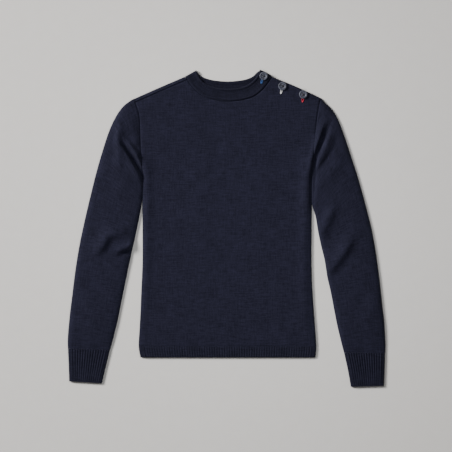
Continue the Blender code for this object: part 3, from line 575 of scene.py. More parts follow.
def back_panel(finish):
    """The back, with its shoulder edges folded forward over themselves."""
    neck = offset_down(band_edges(BACK_SEAM, BACK_RIM, BACK_STEPS, True)[0], SEAM)
    tips = (
        np.array(RIGHT_TIP) - EDGE_TURN * forward(RIGHT_TIP, RIGHT_NECK),
        np.array(LEFT_TIP) - EDGE_TURN * forward(LEFT_TIP, LEFT_NECK),
    )
    right_line = bowed(tips[0], neck[0], SHOULDER_BOW[0], forward(RIGHT_TIP, RIGHT_NECK))
    left_line = bowed(neck[-1], tips[1], SHOULDER_BOW[1], forward(LEFT_NECK, LEFT_TIP))
    outer, inner, corners = body_rows(neck, right_line, left_line, shoulder_steps=20, upper=False)
    fold_line = outer[-1][:, :2]
    columns = len(fold_line)
    outs = fold_directions(columns, corners)
    on_right = (np.arange(columns) < columns / 2)[:, None]
    depths = np.where(on_right, FORWARD_SEAM, BUTTON_STAND) - EDGE_TURN
    knit = [row[:, :2] for row in outer]
    turns, shares = np.radians(np.linspace(15, 180, 12)), (0.25, 0.5, 0.7, 0.82, 0.92, 1.0)
    for turn in turns:
        fold_over(outer, inner, fold_line, outs, turn)
        knit.append(fold_line + outs * EDGE_TURN * turn)
    for share in shares:
        flat = fold_line - outs * depths * share
        puff = STRIP_PUFF * math.sin(min(share / 0.8, 1) * math.pi / 2)
        puff = puff - SEAM_DROP * np.exp(-((depths * (1 - share)) ** 2))
        outer.append(np.hstack([flat, 2 * EDGE_TURN + puff * on_right]))
        inner.append(np.hstack([flat, np.full((columns, 1), 2 * EDGE_TURN - CLOTH)]))
        knit.append(fold_line + outs * (EDGE_TURN * math.pi + depths * share))
    kept = np.ones((len(outer) - 1, columns - 1), bool)
    kept[-len(turns) - len(shares) :, corners[0] : corners[1]] = False
    return wall("back_panel_knit", np.array(outer), np.array(inner), np.array(knit), finish, kept=kept)


RIB_COLUMNS = 8  # columns in each rib
SLEEVE_COLUMNS = (62, 20)  # on a sleeve's upper and its under side
SLEEVE_STEPS, CUFF_STEPS = 12, 14  # rows between two of their sections
HEM_ROWS = (0.0, 0.3, 0.9, 1.8, 3.0, 5.0, 8.0, 12.0, 16.0, 19.0, 21.0, 22.4, 23.2, 23.7, HEM_RIB)


def rib_relief(ribs, columns):
    """Rounded ribs over evenly spaced columns: 0 in the grooves and 1 on the crests."""
    wave = 0.5 - 0.5 * np.cos(2 * math.pi * ribs * np.linspace(0, 1, columns))
    return wave**0.7


def hem(name, upper, finish):
    """A hem rib: its ribs stand up on the front and are grooves in the flat underside of the back."""
    columns = HEM_RIBS * RIB_COLUMNS + 1
    shares = np.linspace(0, 1, columns)
    edges = len(ROLL_SHARES) - 1
    relief = np.zeros(columns + 2 * edges)
    ribs = rib_relief(HEM_RIBS, columns)
    relief[edges:-edges] = RIB_RISE * ribs if upper else RIB_GROOVE * (1 - ribs)
    outer, inner = [], []
    for up in HEM_ROWS:
        shown = relief * smooth_step(HEM_RIB - up, *RIB_FADE)
        if upper:
            shown = shown - HEM_DIP * seam_dip(HEM_RIB - up) - HEM_EDGE_DROP * math.exp(-(up**2))
        rows = panel_row(side(up, 0), side(up, 1), up, shares, 1.0, upper, shown)
        outer.append(rows[0])
        inner.append(rows[1])
    outer = np.array(outer)
    return wall(name, outer, np.array(inner), outer[..., :2], finish)


def rib_share(from_end):
    """Share of a cuff rib's height this far from the cuff's free end, where the ribs are stretched."""
    return 0.3 + 0.35 * smooth_step(from_end, 2, 6) + 0.35 * smooth_step(from_end, 10, 44)


def flat_tube(name, sections, steps, inner_shares, under_shares, finish, loft, roll, relief, which=None):
    """A tube that lies flat, through sections from its far end to its near end. Its columns are at these
    shares of its upper and its under side. Loft and relief are how far its middle and its ribs stand up, and
    which is the armhole, right (0) or left (1), that its near end follows.
    """
    table = curve_through(sections, steps)
    shares = np.linspace(0, 1, len(table))
    grid, run, within, widths = [], [], [], []
    for oa, ou, ia, iu, bow in table:
        start, end = np.array([oa, ou]), np.array([ia, iu])
        width = math.hypot(*(end - start))

        def place(run, bow=bow, start=start, end=end, width=width):
            share = run / width
            points = start + np.outer(share, end - start)
            if which is not None and bow > 0:
                tip = (RIGHT_TIP, LEFT_TIP)[which]
                ups = tip.up + (UNDERARM - tip.up) * share
                straight = side(tip.up, which) + (side(UNDERARM, which) - side(tip.up, which)) * share
                points[:, 0] += bow * (side(ups, which) - straight)
            return points

        middle = roll + inner_shares * (width - 2 * roll)
        below = roll + under_shares * (width - 2 * roll)
        edge = roll * ROLL_SHARES[:-1]
        runs = np.concatenate([edge, middle, width - edge[::-1], width - edge[1:], below[::-1], edge[:0:-1]])
        inset = CLOTH * (1 - np.minimum(np.minimum(runs, width - runs) / roll, 1))
        inset = np.where(runs < width / 2, inset, -inset)
        grid.append(place(runs))
        within.append(place(runs + inset))
        run.append(runs)
        widths.append(width)
    grid, within, run = np.array(grid), np.array(within), np.array(run)
    widths = np.array(widths)[:, None]
    on_top = 2 * (len(ROLL_SHARES) - 1) + len(inner_shares)
    heights = ROLL_HEIGHTS[:-1]
    lifts = np.concatenate([heights, np.ones(len(inner_shares)), heights[::-1]])
    drops = np.concatenate([heights[1:], np.ones(len(under_shares)), heights[:0:-1]])
    steps_along = np.linalg.norm(np.diff(grid, axis=0), axis=2)
    from_far = np.vstack([np.zeros(grid.shape[1]), np.cumsum(steps_along, axis=0)])
    to_near = from_far[-1] - from_far
    crown = loft * smooth_step(shares, *LOFT_FROM) * (1 - smooth_step(shares, *LOFT_TO))
    bulge = crown[:, None] * np.sin(math.pi * np.clip(run[:, :on_top] / widths, 0, 1)).clip(0) ** 0.45
    top = grid[:, :on_top]
    under = lie(top[..., 0], top[..., 1], bulge)
    at_armhole = 1.0 if which is not None else CUFF_DIP
    dip = CUFF_DIP * seam_dip(from_far[:, :on_top]) + at_armhole * seam_dip(to_near[:, :on_top])
    outer_z, inner_z = np.empty(run.shape), np.empty(run.shape)
    raised = relief[0] * rib_share(from_far[:, :on_top])
    outer_z[:, :on_top] = EDGE_TURN + (under + CLOTH + raised - dip - EDGE_TURN) * lifts
    inner_z[:, :on_top] = EDGE_TURN + (under - EDGE_TURN) * lifts
    outer_z[:, on_top:] = EDGE_TURN * (1 - drops) + relief[1] * drops
    inner_z[:, on_top:] = EDGE_TURN + (CLOTH - EDGE_TURN) * drops
    middle_line = (grid[:, 0] + grid[:, on_top - 1]) / 2
    lengthwise = distances(middle_line)[:, None]
    knit = np.stack([run - widths / 2, np.broadcast_to(lengthwise, run.shape)], axis=-1)
    outer = np.concatenate([grid, outer_z[..., None]], axis=-1)
    inner = np.concatenate([within, inner_z[..., None]], axis=-1)
    if which is not None:
        # A sleeve's far end reaches to the cuff's ribs. Its near end goes in between the panels' edges: it is
        # thinner there, and its last four rows move straight across.
        reach = grid[0] - grid[1]
        reach *= (SEAM - RIB_SEAM) / np.linalg.norm(reach, axis=1)[:, None]
        for layer, lower, upper in ((outer, 0.5, -0.4), (inner, -0.2, 0.1)):
            layer[0, :, :2] += reach
            layer[-1, :, 2] += np.where(np.arange(grid.shape[1]) < on_top, upper, lower)
            for row, share in ((-1, 1.0), (-2, 0.75), (-3, 0.5), (-4, 0.25)):
                layer[row, :, 0] += SEAM_TUCK * (1 - 2 * which) * share
    return wall(name, outer, inner, knit, finish, tube=True)


def sleeve(name, sections, which, finish):
    """The right (0) or left (1) sleeve: a soft tube with no ribs."""
    above, below = (np.linspace(0, 1, columns) for columns in SLEEVE_COLUMNS)
    steps = SLEEVE_STEPS
    return flat_tube(name, sections, steps, above, below, finish, SLEEVE_LOFT, SLEEVE_ROLL, (0.0, 0.0), which)


def cuff(name, sections, finish):
    """A ribbed cuff: its ribs stand up on top and are grooves in the flat underside."""
    columns = CUFF_RIBS * RIB_COLUMNS + 1
    shares = np.linspace(0, 1, columns)
    ribs = rib_relief(CUFF_RIBS, columns)
    edges = len(ROLL_SHARES) - 1
    above = np.zeros(columns + 2 * edges)
    above[edges:-edges] = CUFF_RIB_RISE * ribs
    below = np.zeros(columns + 2 * edges - 2)
    below[edges - 1 : 1 - edges] = CUFF_RIB_GROOVE * (1 - ribs[::-1])
    return flat_tube(name, sections, CUFF_STEPS, shares, shares, finish, 0.0, CUFF_ROLL, (above, below))


# Across the neckband from the seam to the rim: share of its width, and how far it stands up there
FRONT_RELIEF = ((0.0, -1.7), (0.03, -0.8), (0.08, 1.0), (0.14, 1.3), (0.22, 0.8), (0.34, 0.2), (0.5, 0.0))
FRONT_RELIEF += ((0.7, 0.1), (0.8, 0.8), (0.87, 2.3), (0.91, 2.6), (0.96, 1.6), (1.0, -0.8))
BACK_RELIEF = ((0.0, 0.0), (0.56, 0.0), (0.7, 0.4), (0.8, 1.8), (0.9, 2.0), (0.96, 1.0), (1.0, -0.6))
BAND_SHARES = np.array([0, 0.01, 0.03, 0.06, 0.1, 0.15, 0.21, 0.28, 0.36, 0.45, 0.54, 0.63, 0.71, 0.78])
BAND_SHARES = np.concatenate([BAND_SHARES, [0.83, 0.87, 0.905, 0.935, 0.96, 0.98, 0.993, 1.0]])


def profile(points):
    """Heights at the band's shares, on a smooth curve through these points."""
    curve = curve_through(points, 8)
    return np.interp(BAND_SHARES, curve[:, 0], curve[:, 1])


def neckband(finish):
    """One strip: along the front, over at the right shoulder, along the back and under its own start."""
    front_relief, back_relief = profile(FRONT_RELIEF), profile(BACK_RELIEF)
    outer, inner, middles = [], [], []

    def station(low, high, layer, turn=0.0, out=None, away=0.0, dip=0.0, bow=0.0):
        flat = low + np.outer(BAND_SHARES, high - low)
        flat = flat + np.outer(bow * np.sin(math.pi * BAND_SHARES), forward(LEFT_NECK, LEFT_RIM))
        if layer == "front":
            under = lie(flat[:, 0], flat[:, 1])
            shallow = np.where(front_relief < 0, neck_groove(flat[:, 0]), 1.0)
            shallow = np.where(BAND_SHARES < 0.5, shallow, 1.0)
            heights = under + CLOTH + front_relief * shallow - dip, under
        elif layer == "back":
            heights = 0.0, CLOTH + back_relief
        elif layer == "underlap":
            flat = flat - out * away
            heights = 2 * EDGE_TURN, 2 * EDGE_TURN - CLOTH
        if layer == "fold":
            fold_over(outer, inner, flat, out, turn)
        else:
            for grid, height in zip((outer, inner), heights):
                grid.append(np.column_stack([flat, np.broadcast_to(height, len(flat))]))
        middles.append(outer[-1][len(BAND_SHARES) // 2])

    turns = np.radians(np.linspace(15, 165, 11))  # round each fold, from the underside
    lows, highs = band_edges(FRONT_SEAM, FRONT_RIM, FRONT_STEPS, False)
    back = EDGE_BACK * forward(LEFT_NECK, LEFT_RIM)
    at_end = np.exp(-np.arange(FRONT_STEPS, -1, -1) / 1.5)[:, None]
    lows, highs = lows - back * at_end, highs - back * at_end
    from_end = np.linalg.norm(lows - lows[-1], axis=1)
    for k in range(FRONT_STEPS, -1, -1):
        bow = BAND_END_BOW * math.exp(-from_end[k] / BAND_END_REACH)
        station(lows[k], highs[k], "front", dip=BAND_END_DIP * seam_dip(from_end[k]), bow=bow)
    for turn in turns[::-1]:
        station(lows[0], highs[0], "fold", turn, forward(RIGHT_NECK, RIGHT_RIM))
    lows, highs = band_edges(BACK_SEAM, BACK_RIM, BACK_STEPS, True)
    from_end = np.linalg.norm(lows - lows[-1], axis=1)
    for k, (low, high) in enumerate(zip(lows, highs)):
        station(low, high, "back", bow=BAND_END_BOW * math.exp(-from_end[k] / BAND_END_REACH))
    left_out = forward(LEFT_NECK, LEFT_RIM)
    for turn in turns:
        station(lows[-1], highs[-1], "fold", turn, left_out, bow=BAND_END_BOW)
    for away in (0.0, 6.0, 12.0, BUTTON_STAND - EDGE_TURN):
        station(lows[-1], highs[-1], "underlap", out=left_out, away=away, bow=BAND_END_BOW)
    knit = np.broadcast_arrays(distances(middles)[:, None], BAND_WIDTH * BAND_SHARES[None, :])
    knit = np.stack(knit, axis=-1)
    return wall("neckband_knit", np.array(outer), np.array(inner), knit, finish)


def resting(across, up):
    """Height just clear of the outer face of the front and its neckband."""
    return float(lie(np.array(across), np.array(up))) + CLOTH + 0.2


def facing_out(name, points, faces):
    """A mesh of these points and faces, with all its faces turned out."""
    mesh = bpy.data.meshes.new(name)
    mesh.from_pydata(world(points).tolist(), [], [list(dict.fromkeys(face)) for face in faces])
    bm = bmesh.new()
    bm.from_mesh(mesh)
    bmesh.ops.recalc_face_normals(bm, faces=bm.faces)
    bm.to_mesh(mesh)
    bm.free()
    return mesh


def lathe(name, half_section, centre, height, steps, finish):
    """A turned piece: half its section as (distance from the axis, height)."""
    section = curve_through(half_section, 5)
    section[:, 0] = np.maximum(section[:, 0], 0)
    section[[0, -1], 0] = 0
    points, rings = [], []
    for radius, rise in section:
        count = 1 if radius < 1e-6 else steps
        rings.append([len(points) + k % count for k in range(steps)])
        for turn in np.arange(count) * 2 * math.pi / steps:
            across, up = centre[0] + radius * math.cos(turn), centre[1] + radius * math.sin(turn)
            points.append((across, up, height + rise))
    faces = []
    for low, high in zip(rings, rings[1:]):
        faces += zip(low, low[1:] + low[:1], high[1:] + high[:1], high)
    return show(name, facing_out(name, points, faces), finish)


# Half of a button's section, from the middle of its dished top, over the rim, to the middle underneath
BUTTON_SECTION = (
    (0.0, 1.75), (2.6, 1.7), (4.6, 1.75), (5.3, 2.1), (6.0, 2.55), (7.0, 2.8), (8.0, 2.65), (8.7, 2.15),
    (9.0, 1.45), (8.7, 0.7), (7.8, 0.2), (6.0, 0.05), (0.0, 0.0),
)
HOLE_REACH = 1.95  # from the button's middle to each hole, across and along
HOLE_RADIUS = 1.1
HOLE_CUT = 12.0  # length of what cuts a hole, enough to go right through

# Sewing threads. Heights are above the button's underside.
THREAD_RADIUS = 0.27
THREAD_TIP = 0.15  # share of its thickness at a rounded end
STRAND_APART = 7.0  # between two strands on the map that their colour comes from
THREAD_GAP = 0.34  # between the three strands that cross together
THREAD_END = 0.4  # height where a crossing strand ends in its hole
THREAD_TOP = 1.9  # height where it comes out of the hole
THREAD_ARCH = 0.55  # how much higher it is in the middle
THREAD_LAYER = 0.5  # and how much more over the strands that it crosses
FILLING_REACH = 0.6  # from a hole's middle to each upright strand that fills it
FILLING_HEIGHTS = (0.15, 0.5, 0.9, 1.25)
# Bindings
BINDING_RADIUS = 0.33
BINDING_STITCHES = 54
BINDING_START = 3.0  # how far it reaches past the button's middle
BINDING_END = 1.1  # how far short of the slit's end its middle line turns


def button(spec, finish):
    """A turned button with four holes."""
    height = resting(spec.across, spec.up) + BUTTON_RISE
    centre = (spec.across, spec.up)
    made = lathe(f"{spec.name}_button", BUTTON_SECTION, centre, height, steps=72, finish=finish)
    bm = bmesh.new()
    for hole in holes(spec):
        place = Matrix.Translation(world((*hole, height + 1)))
        sizes = {"radius1": HOLE_RADIUS * MM, "radius2": HOLE_RADIUS * MM, "depth": HOLE_CUT * MM}
        bmesh.ops.create_cone(bm, cap_ends=True, segments=24, matrix=place, **sizes)
    mesh = bpy.data.meshes.new("holes")
    bm.to_mesh(mesh)
    bm.free()
    cutter = new_object("holes", mesh)
    carve = made.modifiers.new("holes", "BOOLEAN")
    carve.operation = "DIFFERENCE"
    carve.object = cutter
    bake_modifiers(made)
    bpy.data.objects.remove(cutter)
    made.data.set_sharp_from_angle(angle=HOLE_EDGE)
    return made


def holes(spec):
    """Places of a button's four holes, in turn round its middle."""
    spots = []
    for corner in (45, 135, 225, 315):
        turn = math.radians(corner + spec.turn)
        reach = HOLE_REACH * math.sqrt(2)
        spots.append((spec.across + reach * math.cos(turn), spec.up + reach * math.sin(turn)))
    return spots


def bake_modifiers(obj):
    """Leaves the object with the mesh that its modifiers make."""
    bpy.context.view_layer.update()
    graph = bpy.context.evaluated_depsgraph_get()
    mesh = bpy.data.meshes.new_from_object(obj.evaluated_get(graph))
    obj.modifiers.clear()
    obj.data = mesh


def strands(name, paths, radius, finish, sides=6):
    """Threads of one thickness, each along its own row of places, joined into one piece."""
    points, faces, knit = [], [], []
    for number, path in enumerate(paths):
        path = np.array(path, float)
        run = np.gradient(path, axis=0)
        run /= np.linalg.norm(run, axis=1)[:, None]
        across = np.cross(run, (0, 0, 1.0))
        across[np.linalg.norm(across, axis=1) < 0.05] = (1, 0, 0)  # where the thread stands upright
        across /= np.linalg.norm(across, axis=1)[:, None]
        up = np.cross(across, run)
        start = len(points)
        length = distances(path)
        from_end = np.minimum(length, length[-1] - length)
        swell = THREAD_TIP + (1 - THREAD_TIP) * np.sqrt(np.clip(from_end / radius, 0, 1))
        for k, spot in enumerate(path):
            for j in range(sides):
                turn = 2 * math.pi * j / sides
                ring = across[k] * math.cos(turn) + up[k] * math.sin(turn)
                points.append(spot + ring * radius * swell[k])
                knit.append((number * STRAND_APART + turn * radius, length[k]))
        for low in range(start, start + (len(path) - 1) * sides, sides):
            for j in range(sides):
                after = (j + 1) % sides
                faces.append((low + j, low + after, low + sides + after, low + sides + j))
        last = start + (len(path) - 1) * sides
        for j in range(1, sides // 2):
            faces.append((start, start + sides - j, start + sides - j - 1, start + j))
            faces.append((last, last + j, last + j + 1, last + sides - j))
    mesh = facing_out(name, points, faces)
    set_knit(mesh, knit)
    return show(name, mesh, finish)


def button_thread(spec, finish):
    """The crossed threads that sew a button on, down through its four holes."""
    height = resting(spec.across, spec.up) + BUTTON_RISE
    spots = [np.array(spot) for spot in holes(spec)]
    paths = []
    for layer, (start, end) in enumerate(((spots[0], spots[2]), (spots[1], spots[3]))):
        run = (end - start) / np.linalg.norm(end - start)
        aside = np.array([-run[1], run[0]])
        for shift in (-THREAD_GAP, 0.0, THREAD_GAP):
            path = []
            for share in np.linspace(0, 1, 9):
                flat = start + (end - start) * share + aside * shift
                arch = math.sin(math.pi * share)
                rise = THREAD_TOP + THREAD_ARCH * arch**0.5 + THREAD_LAYER * layer * arch
                path.append((*flat, height + rise - 0.1 * abs(shift)))
            in_hole = [(*(spot + aside * shift * 0.7), height + THREAD_END) for spot in (start, end)]
            paths.append([in_hole[0], *path, in_hole[1]])
    for spot in spots:
        for turn in np.arange(6) * math.pi / 3:
            flat = spot + FILLING_REACH * np.array([math.cos(turn), math.sin(turn)])
            paths.append([(*flat, height + rise) for rise in FILLING_HEIGHTS])
    return strands(f"{spec.name}_button_thread", paths, THREAD_RADIUS, finish)


# How far the middle of each binding lies from its slit, half its stitches' length, and how much it tapers
BINDINGS = {"blue": (1.7, 1.55, 0.0), "white": (2.0, 1.3, 0.35), "red": (2.3, 1.05, 0.3)}


def buttonhole(spec, finish):
    """A buttonhole bound with close stitches of thread, half under its button."""
    end, start = np.array([spec.slit_end_across, spec.slit_end_up]), np.array([spec.across, spec.up])
    length = np.linalg.norm(end - start)
    run = (end - start) / length
    square = np.array([-run[1], run[0]])
    half, middle = (length - BINDING_END + BINDING_START) / 2, (length - BINDING_END - BINDING_START) / 2
    aside, stitch, taper = BINDINGS[spec.thread]
    paths = []
    for k in range(BINDING_STITCHES):
        turn = 2 * math.pi * k / BINDING_STITCHES
        narrow = 1 - taper * max(0.0, math.cos(turn))
        centre = start + run * (middle + half * math.cos(turn)) + square * aside * narrow * math.sin(turn)
        outward = run * aside * math.cos(turn) + square * half * math.sin(turn)
        outward /= np.linalg.norm(outward)
        reach = stitch + 0.12 * math.sin(2.4 * k)  # uneven, as by hand
        path = []
        for share in np.linspace(-1, 1, 7):
            spot = centre + outward * share * reach
            path.append((*spot, resting(*spot) + 0.25 + 0.75 * math.cos(share * math.pi / 2)))
        paths.append(path)
    return strands(f"{spec.thread}_buttonhole", paths, BINDING_RADIUS, finish)


class Nodes:
    """Short ways to add nodes to one tree. Inputs are given by name or number, as values or to be linked."""

    def __init__(self, tree):
        self.tree = tree

    def feed(self, node, inputs):
        for key, value in inputs.items():
            if isinstance(value, bpy.types.NodeSocket):
                self.tree.links.new(value, node.inputs[key])
            else:
                node.inputs[key].default_value = value

    def add(self, kind, inputs, **settings):
        """A new node's outputs."""
        node = self.tree.nodes.new(kind)
        for key, value in settings.items():
            setattr(node, key, value)
        self.feed(node, inputs)
        return node.outputs

    def maths(self, operation, *values):
        """The outcome of one sum."""
        return self.add("ShaderNodeMath", dict(enumerate(values)), operation=operation)[0]

    def noise(self, place, scale, detail=2.0, distortion=0.0, dimensions="3D"):
        """Soft patches, this many to the metre."""
        inputs = {"Vector": place, "Scale": scale, "Detail": detail, "Distortion": distortion}
        return self.add("ShaderNodeTexNoise", inputs, noise_dimensions=dimensions)

    def on_cloth(self, place, scale, detail=2.0):
        """Patches over the cloth's own surface."""
        return self.noise(place, scale, detail, dimensions="2D")

    def shade(self, share, dark, light):
        """The colour at this share of the way from the one to the other."""
        return self.add("ShaderNodeMix", {0: share, 6: dark, 7: light}, data_type="RGBA")[2]

    def bump(self, height, depth, strength):
        """Relief of this depth in millimetres."""
        return self.add("ShaderNodeBump", {"Height": height, "Distance": depth * MM, "Strength": strength})[0]


def socketed_group(name, ins, outs):
    """An empty shader group with these named inputs and outputs: its nodes, what is given and its result."""
    group = bpy.data.node_groups.new(name, "ShaderNodeTree")
    for label, kind, value in ins:
        socket = group.interface.new_socket(label, in_out="INPUT", socket_type=kind)
        if value is not None:
            socket.default_value = value
    for label, kind in outs:
        group.interface.new_socket(label, in_out="OUTPUT", socket_type=kind)
    return Nodes(group), group.nodes.new("NodeGroupInput").outputs, group.nodes.new("NodeGroupOutput")


KNIT_INPUTS = (
    ("Knit", "NodeSocketVector", None),
    ("Wale", "NodeSocketFloat", WALE),
    ("Course", "NodeSocketFloat", COURSE),
)


def stitches_group():
    """Stocking stitch: columns of V-shaped stitches. Gives their height and a number for each stitch."""
    outs = (("Height", "NodeSocketFloat"), ("Stitch", "NodeSocketFloat"))
    nodes, given, result = socketed_group("stocking_stitch", KNIT_INPUTS, outs)
    maths = nodes.maths
    drift = nodes.on_cloth(given["Knit"], 90.0)["Color"]
    bend = {0: drift, 1: (0.0005, 0.0006, 0), 2: given["Knit"]}
    bent = nodes.add("ShaderNodeVectorMath", bend, operation="MULTIPLY_ADD")[0]
    parts = nodes.add("ShaderNodeSeparateXYZ", {0: bent})
    u = maths("DIVIDE", parts["X"], maths("MULTIPLY", given["Wale"], MM))
    v = maths("DIVIDE", parts["Y"], maths("MULTIPLY", given["Course"], MM))
    aside = maths("ABSOLUTE", maths("SUBTRACT", maths("FRACT", u), 0.5))
    phase = maths("FRACT", maths("MULTIPLY_ADD", aside, -1.7, v))
    strand = maths("SINE", maths("MULTIPLY", phase, math.pi))
    strand = maths("POWER", maths("MAXIMUM", strand, 0.0), 0.6)
    leg = maths("SINE", maths("MULTIPLY_ADD", aside, 1.7 * math.pi, 0.15 * math.pi))
    leg = maths("POWER", maths("MAXIMUM", leg, 0.0), 0.5)
    height = maths("MULTIPLY", maths("MULTIPLY_ADD", strand, 0.75, 0.25), leg)
    cell = nodes.add("ShaderNodeCombineXYZ", {"X": maths("FLOOR", u), "Y": maths("FLOOR", v)})[0]
    each = nodes.add("ShaderNodeTexWhiteNoise", {"Vector": cell}, noise_dimensions="2D")["Value"]
    nodes.feed(result, {"Height": height, "Stitch": each})
    return nodes.tree


def wool_group(stitches):
    """The colour and relief of fine wool knit, from the place in the cloth, with painted shade between its
    stitches.
    """
    ins = (*KNIT_INPUTS, ("Dark", "NodeSocketColor", None), ("Light", "NodeSocketColor", None))
    outs = (("Color", "NodeSocketColor"), ("Height", "NodeSocketFloat"), ("Roughness", "NodeSocketFloat"))
    nodes, given, result = socketed_group("wool_knit", ins, outs)
    maths, knit = nodes.maths, given["Knit"]
    sizes = {"Knit": knit, "Wale": given["Wale"], "Course": given["Course"]}
    stitch = nodes.add("ShaderNodeGroup", sizes, node_tree=stitches)
    # Heather: single stitches, short streaks along rows and columns, small spots, and broad patches
    share = maths("MULTIPLY_ADD", stitch["Stitch"], 0.16, 0.42)
    for scale, detail, amount in HEATHER:
        spread = nodes.add("ShaderNodeMapping", {"Vector": knit, "Scale": (*scale, 1)})[0]
        apart = maths("SUBTRACT", nodes.on_cloth(spread, 1.0, detail)[0], 0.5)
        share = maths("MULTIPLY_ADD", apart, amount, share)
    share = nodes.add("ShaderNodeClamp", {"Value": share})[0]
    shade = nodes.shade(share, given["Dark"], given["Light"])
    # Painted shade: the colour falls to 0.45 of itself in the grooves between the stitches, where their
    # height is lowest, and is about as given on their crests
    stitch_shade = maths("MULTIPLY_ADD", stitch["Height"], 0.6, 0.45)
    colour = nodes.add("ShaderNodeVectorMath", {0: shade, "Scale": stitch_shade}, operation="SCALE")[0]
    fibres = nodes.on_cloth(knit, 2400.0)[0]
    height = maths("MULTIPLY_ADD", fibres, 0.35, stitch["Height"])
    rough = maths("MULTIPLY_ADD", fibres, 0.14, 0.84)
    nodes.feed(result, {"Color": colour, "Height": height, "Roughness": rough})
    return nodes.tree


def new_material(name):
    """A new material, its nodes and its shader."""
    made = bpy.data.materials.new(name)
    made.use_nodes = True
    return made, Nodes(made.node_tree), made.node_tree.nodes["Principled BSDF"]


def wool_material(name, wool, dark, light, wale=WALE):
    """Navy wool: matt, with a faint nap."""
    made, nodes, shader = new_material(name)
    place = nodes.add("ShaderNodeAttribute", {}, attribute_name="knit")["Vector"]
    inputs = {"Knit": place, "Wale": wale, "Course": COURSE, "Dark": (*dark, 1), "Light": (*light, 1)}
    cloth = nodes.add("ShaderNodeGroup", inputs, node_tree=wool)
    looks = {"Base Color": cloth["Color"], "Roughness": cloth["Roughness"]}
    looks |= {"Normal": nodes.bump(cloth["Height"], 0.5, 0.8), "Specular IOR Level": 0.12}
    looks |= {"Sheen Weight": 0.12, "Sheen Roughness": 0.5, "Sheen Tint": (0.35, 0.38, 0.55, 1)}
    nodes.feed(shader, looks)
    return made


def thread_material(name, dark, light, rough=0.45):
    """Twisted sewing thread: the twist runs round each strand, with painted shade in its grooves."""
    made, nodes, shader = new_material(name)
    maths = nodes.maths
    place = nodes.add("ShaderNodeAttribute", {}, attribute_name="knit")["Vector"]
    parts = nodes.add("ShaderNodeSeparateXYZ", {0: place})
    turned = maths("MULTIPLY_ADD", parts["X"], 0.8, parts["Y"])
    twist = maths("SINE", maths("MULTIPLY", turned, 2 * math.pi / (0.7 * MM)))
    patches = nodes.on_cloth(place, 160.0)[0]
    # Painted shade: the colour is darker in the grooves of the twist, where its bump is low; the patches are
    # the thread's own uneven tone
    share = nodes.add("ShaderNodeClamp", {"Value": maths("MULTIPLY_ADD", twist, 0.22, patches)})[0]
    looks = {"Base Color": nodes.shade(share, (*dark, 1), (*light, 1)), "Sheen Weight": 0.2}
    looks |= {"Roughness": maths("MULTIPLY_ADD", patches, 0.2, rough), "Normal": nodes.bump(twist, 0.05, 0.7)}
    nodes.feed(shader, looks)
    return made


def button_material():
    """Slate-blue resin, marbled, with a soft gloss."""
    made, nodes, shader = new_material("marbled_slate")
    maths = nodes.maths
    place = nodes.add("ShaderNodeTexCoord", {})["Object"]
    swirl = nodes.noise(place, 190.0, 3.0, 1.6)[0]
    cloud = nodes.noise(place, 420.0, 5.0, 0.7)[0]
    share = maths("MULTIPLY_ADD", cloud, 0.5, maths("MULTIPLY", swirl, 0.9))
    ramp = made.node_tree.nodes.new("ShaderNodeValToRGB")
    stops = ((0.42, (0.008, 0.009, 0.017)), (0.6, (0.03, 0.033, 0.054)), (0.75, (0.076, 0.083, 0.117)))
    while len(ramp.color_ramp.elements) < len(stops):
        ramp.color_ramp.elements.new(0.5)
    for element, (where, colour) in zip(ramp.color_ramp.elements, stops):
        element.position = where
        element.color = (*colour, 1)
    nodes.feed(ramp, {"Fac": share})
    looks = {"Base Color": ramp.outputs[0], "Roughness": maths("MULTIPLY_ADD", cloud, 0.25, 0.34)}
    looks |= {"Normal": nodes.bump(cloud, 0.06, 0.5), "Coat Weight": 0.06, "Coat Roughness": 0.12}
    nodes.feed(shader, looks)
    return made


def pale_floor():
    """The plain pale surface under the sweater."""
    bpy.ops.mesh.primitive_plane_add(size=8.0, location=(0, 0, -0.0002))
    floor = bpy.context.object
    floor.name = "floor"
    made, nodes, shader = new_material("pale_floor")
    grain = nodes.noise(nodes.add("ShaderNodeTexCoord", {})["Object"], 40.0, 4.0)[0]
    grey = nodes.shade(grain, (0.86, 0.84, 0.81, 1), (0.9, 0.885, 0.86, 1))
    nodes.feed(shader, {"Base Color": grey, "Roughness": 0.9})
    floor.data.materials.append(made)


def area_light(name, place, size, power, colour):
    """A round light, turned to the middle of the sweater."""
    light = bpy.data.lights.new(name, "AREA")
    light.shape = "DISK"
    light.size = size
    light.energy = power
    light.color = colour
    obj = new_object(name, light)
    obj.location = place
    obj.rotation_euler = (-obj.location).to_track_quat("-Z", "Y").to_euler()


def lights_and_camera():
    """Soft light from the upper left of the picture, and a camera straight above."""
    area_light("window_light", (-5.0, 2.35, 3.5), size=2.0, power=590, colour=(1.0, 0.98, 0.965))
    area_light("fill_light", (0.05, 0.05, 0.7), size=0.3, power=1.4, colour=(0.96, 0.98, 1.0))
    sky = bpy.data.worlds.new("soft_room")
    sky.use_nodes = True
    glow = {"Color": (1.0, 0.99, 0.98, 1), "Strength": 0.16}
    Nodes(sky.node_tree).feed(sky.node_tree.nodes["Background"], glow)
    bpy.context.scene.world = sky
    lens = bpy.data.cameras.new("camera")
    lens.sensor_width = SENSOR
    lens.lens = SENSOR * CAMERA_HEIGHT / VIEW_WIDTH
    camera = new_object("camera", lens)
    camera.location = [place * MM for place in (*VIEW_MIDDLE, CAMERA_HEIGHT)]
    bpy.context.scene.camera = camera


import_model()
low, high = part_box("button_neck")
middle = (low + high) / 2
GARMENT_SHIFT = np.array([middle.x / MM - BUTTONS[0].across, middle.y / MM - BUTTONS[0].up, 0.0])

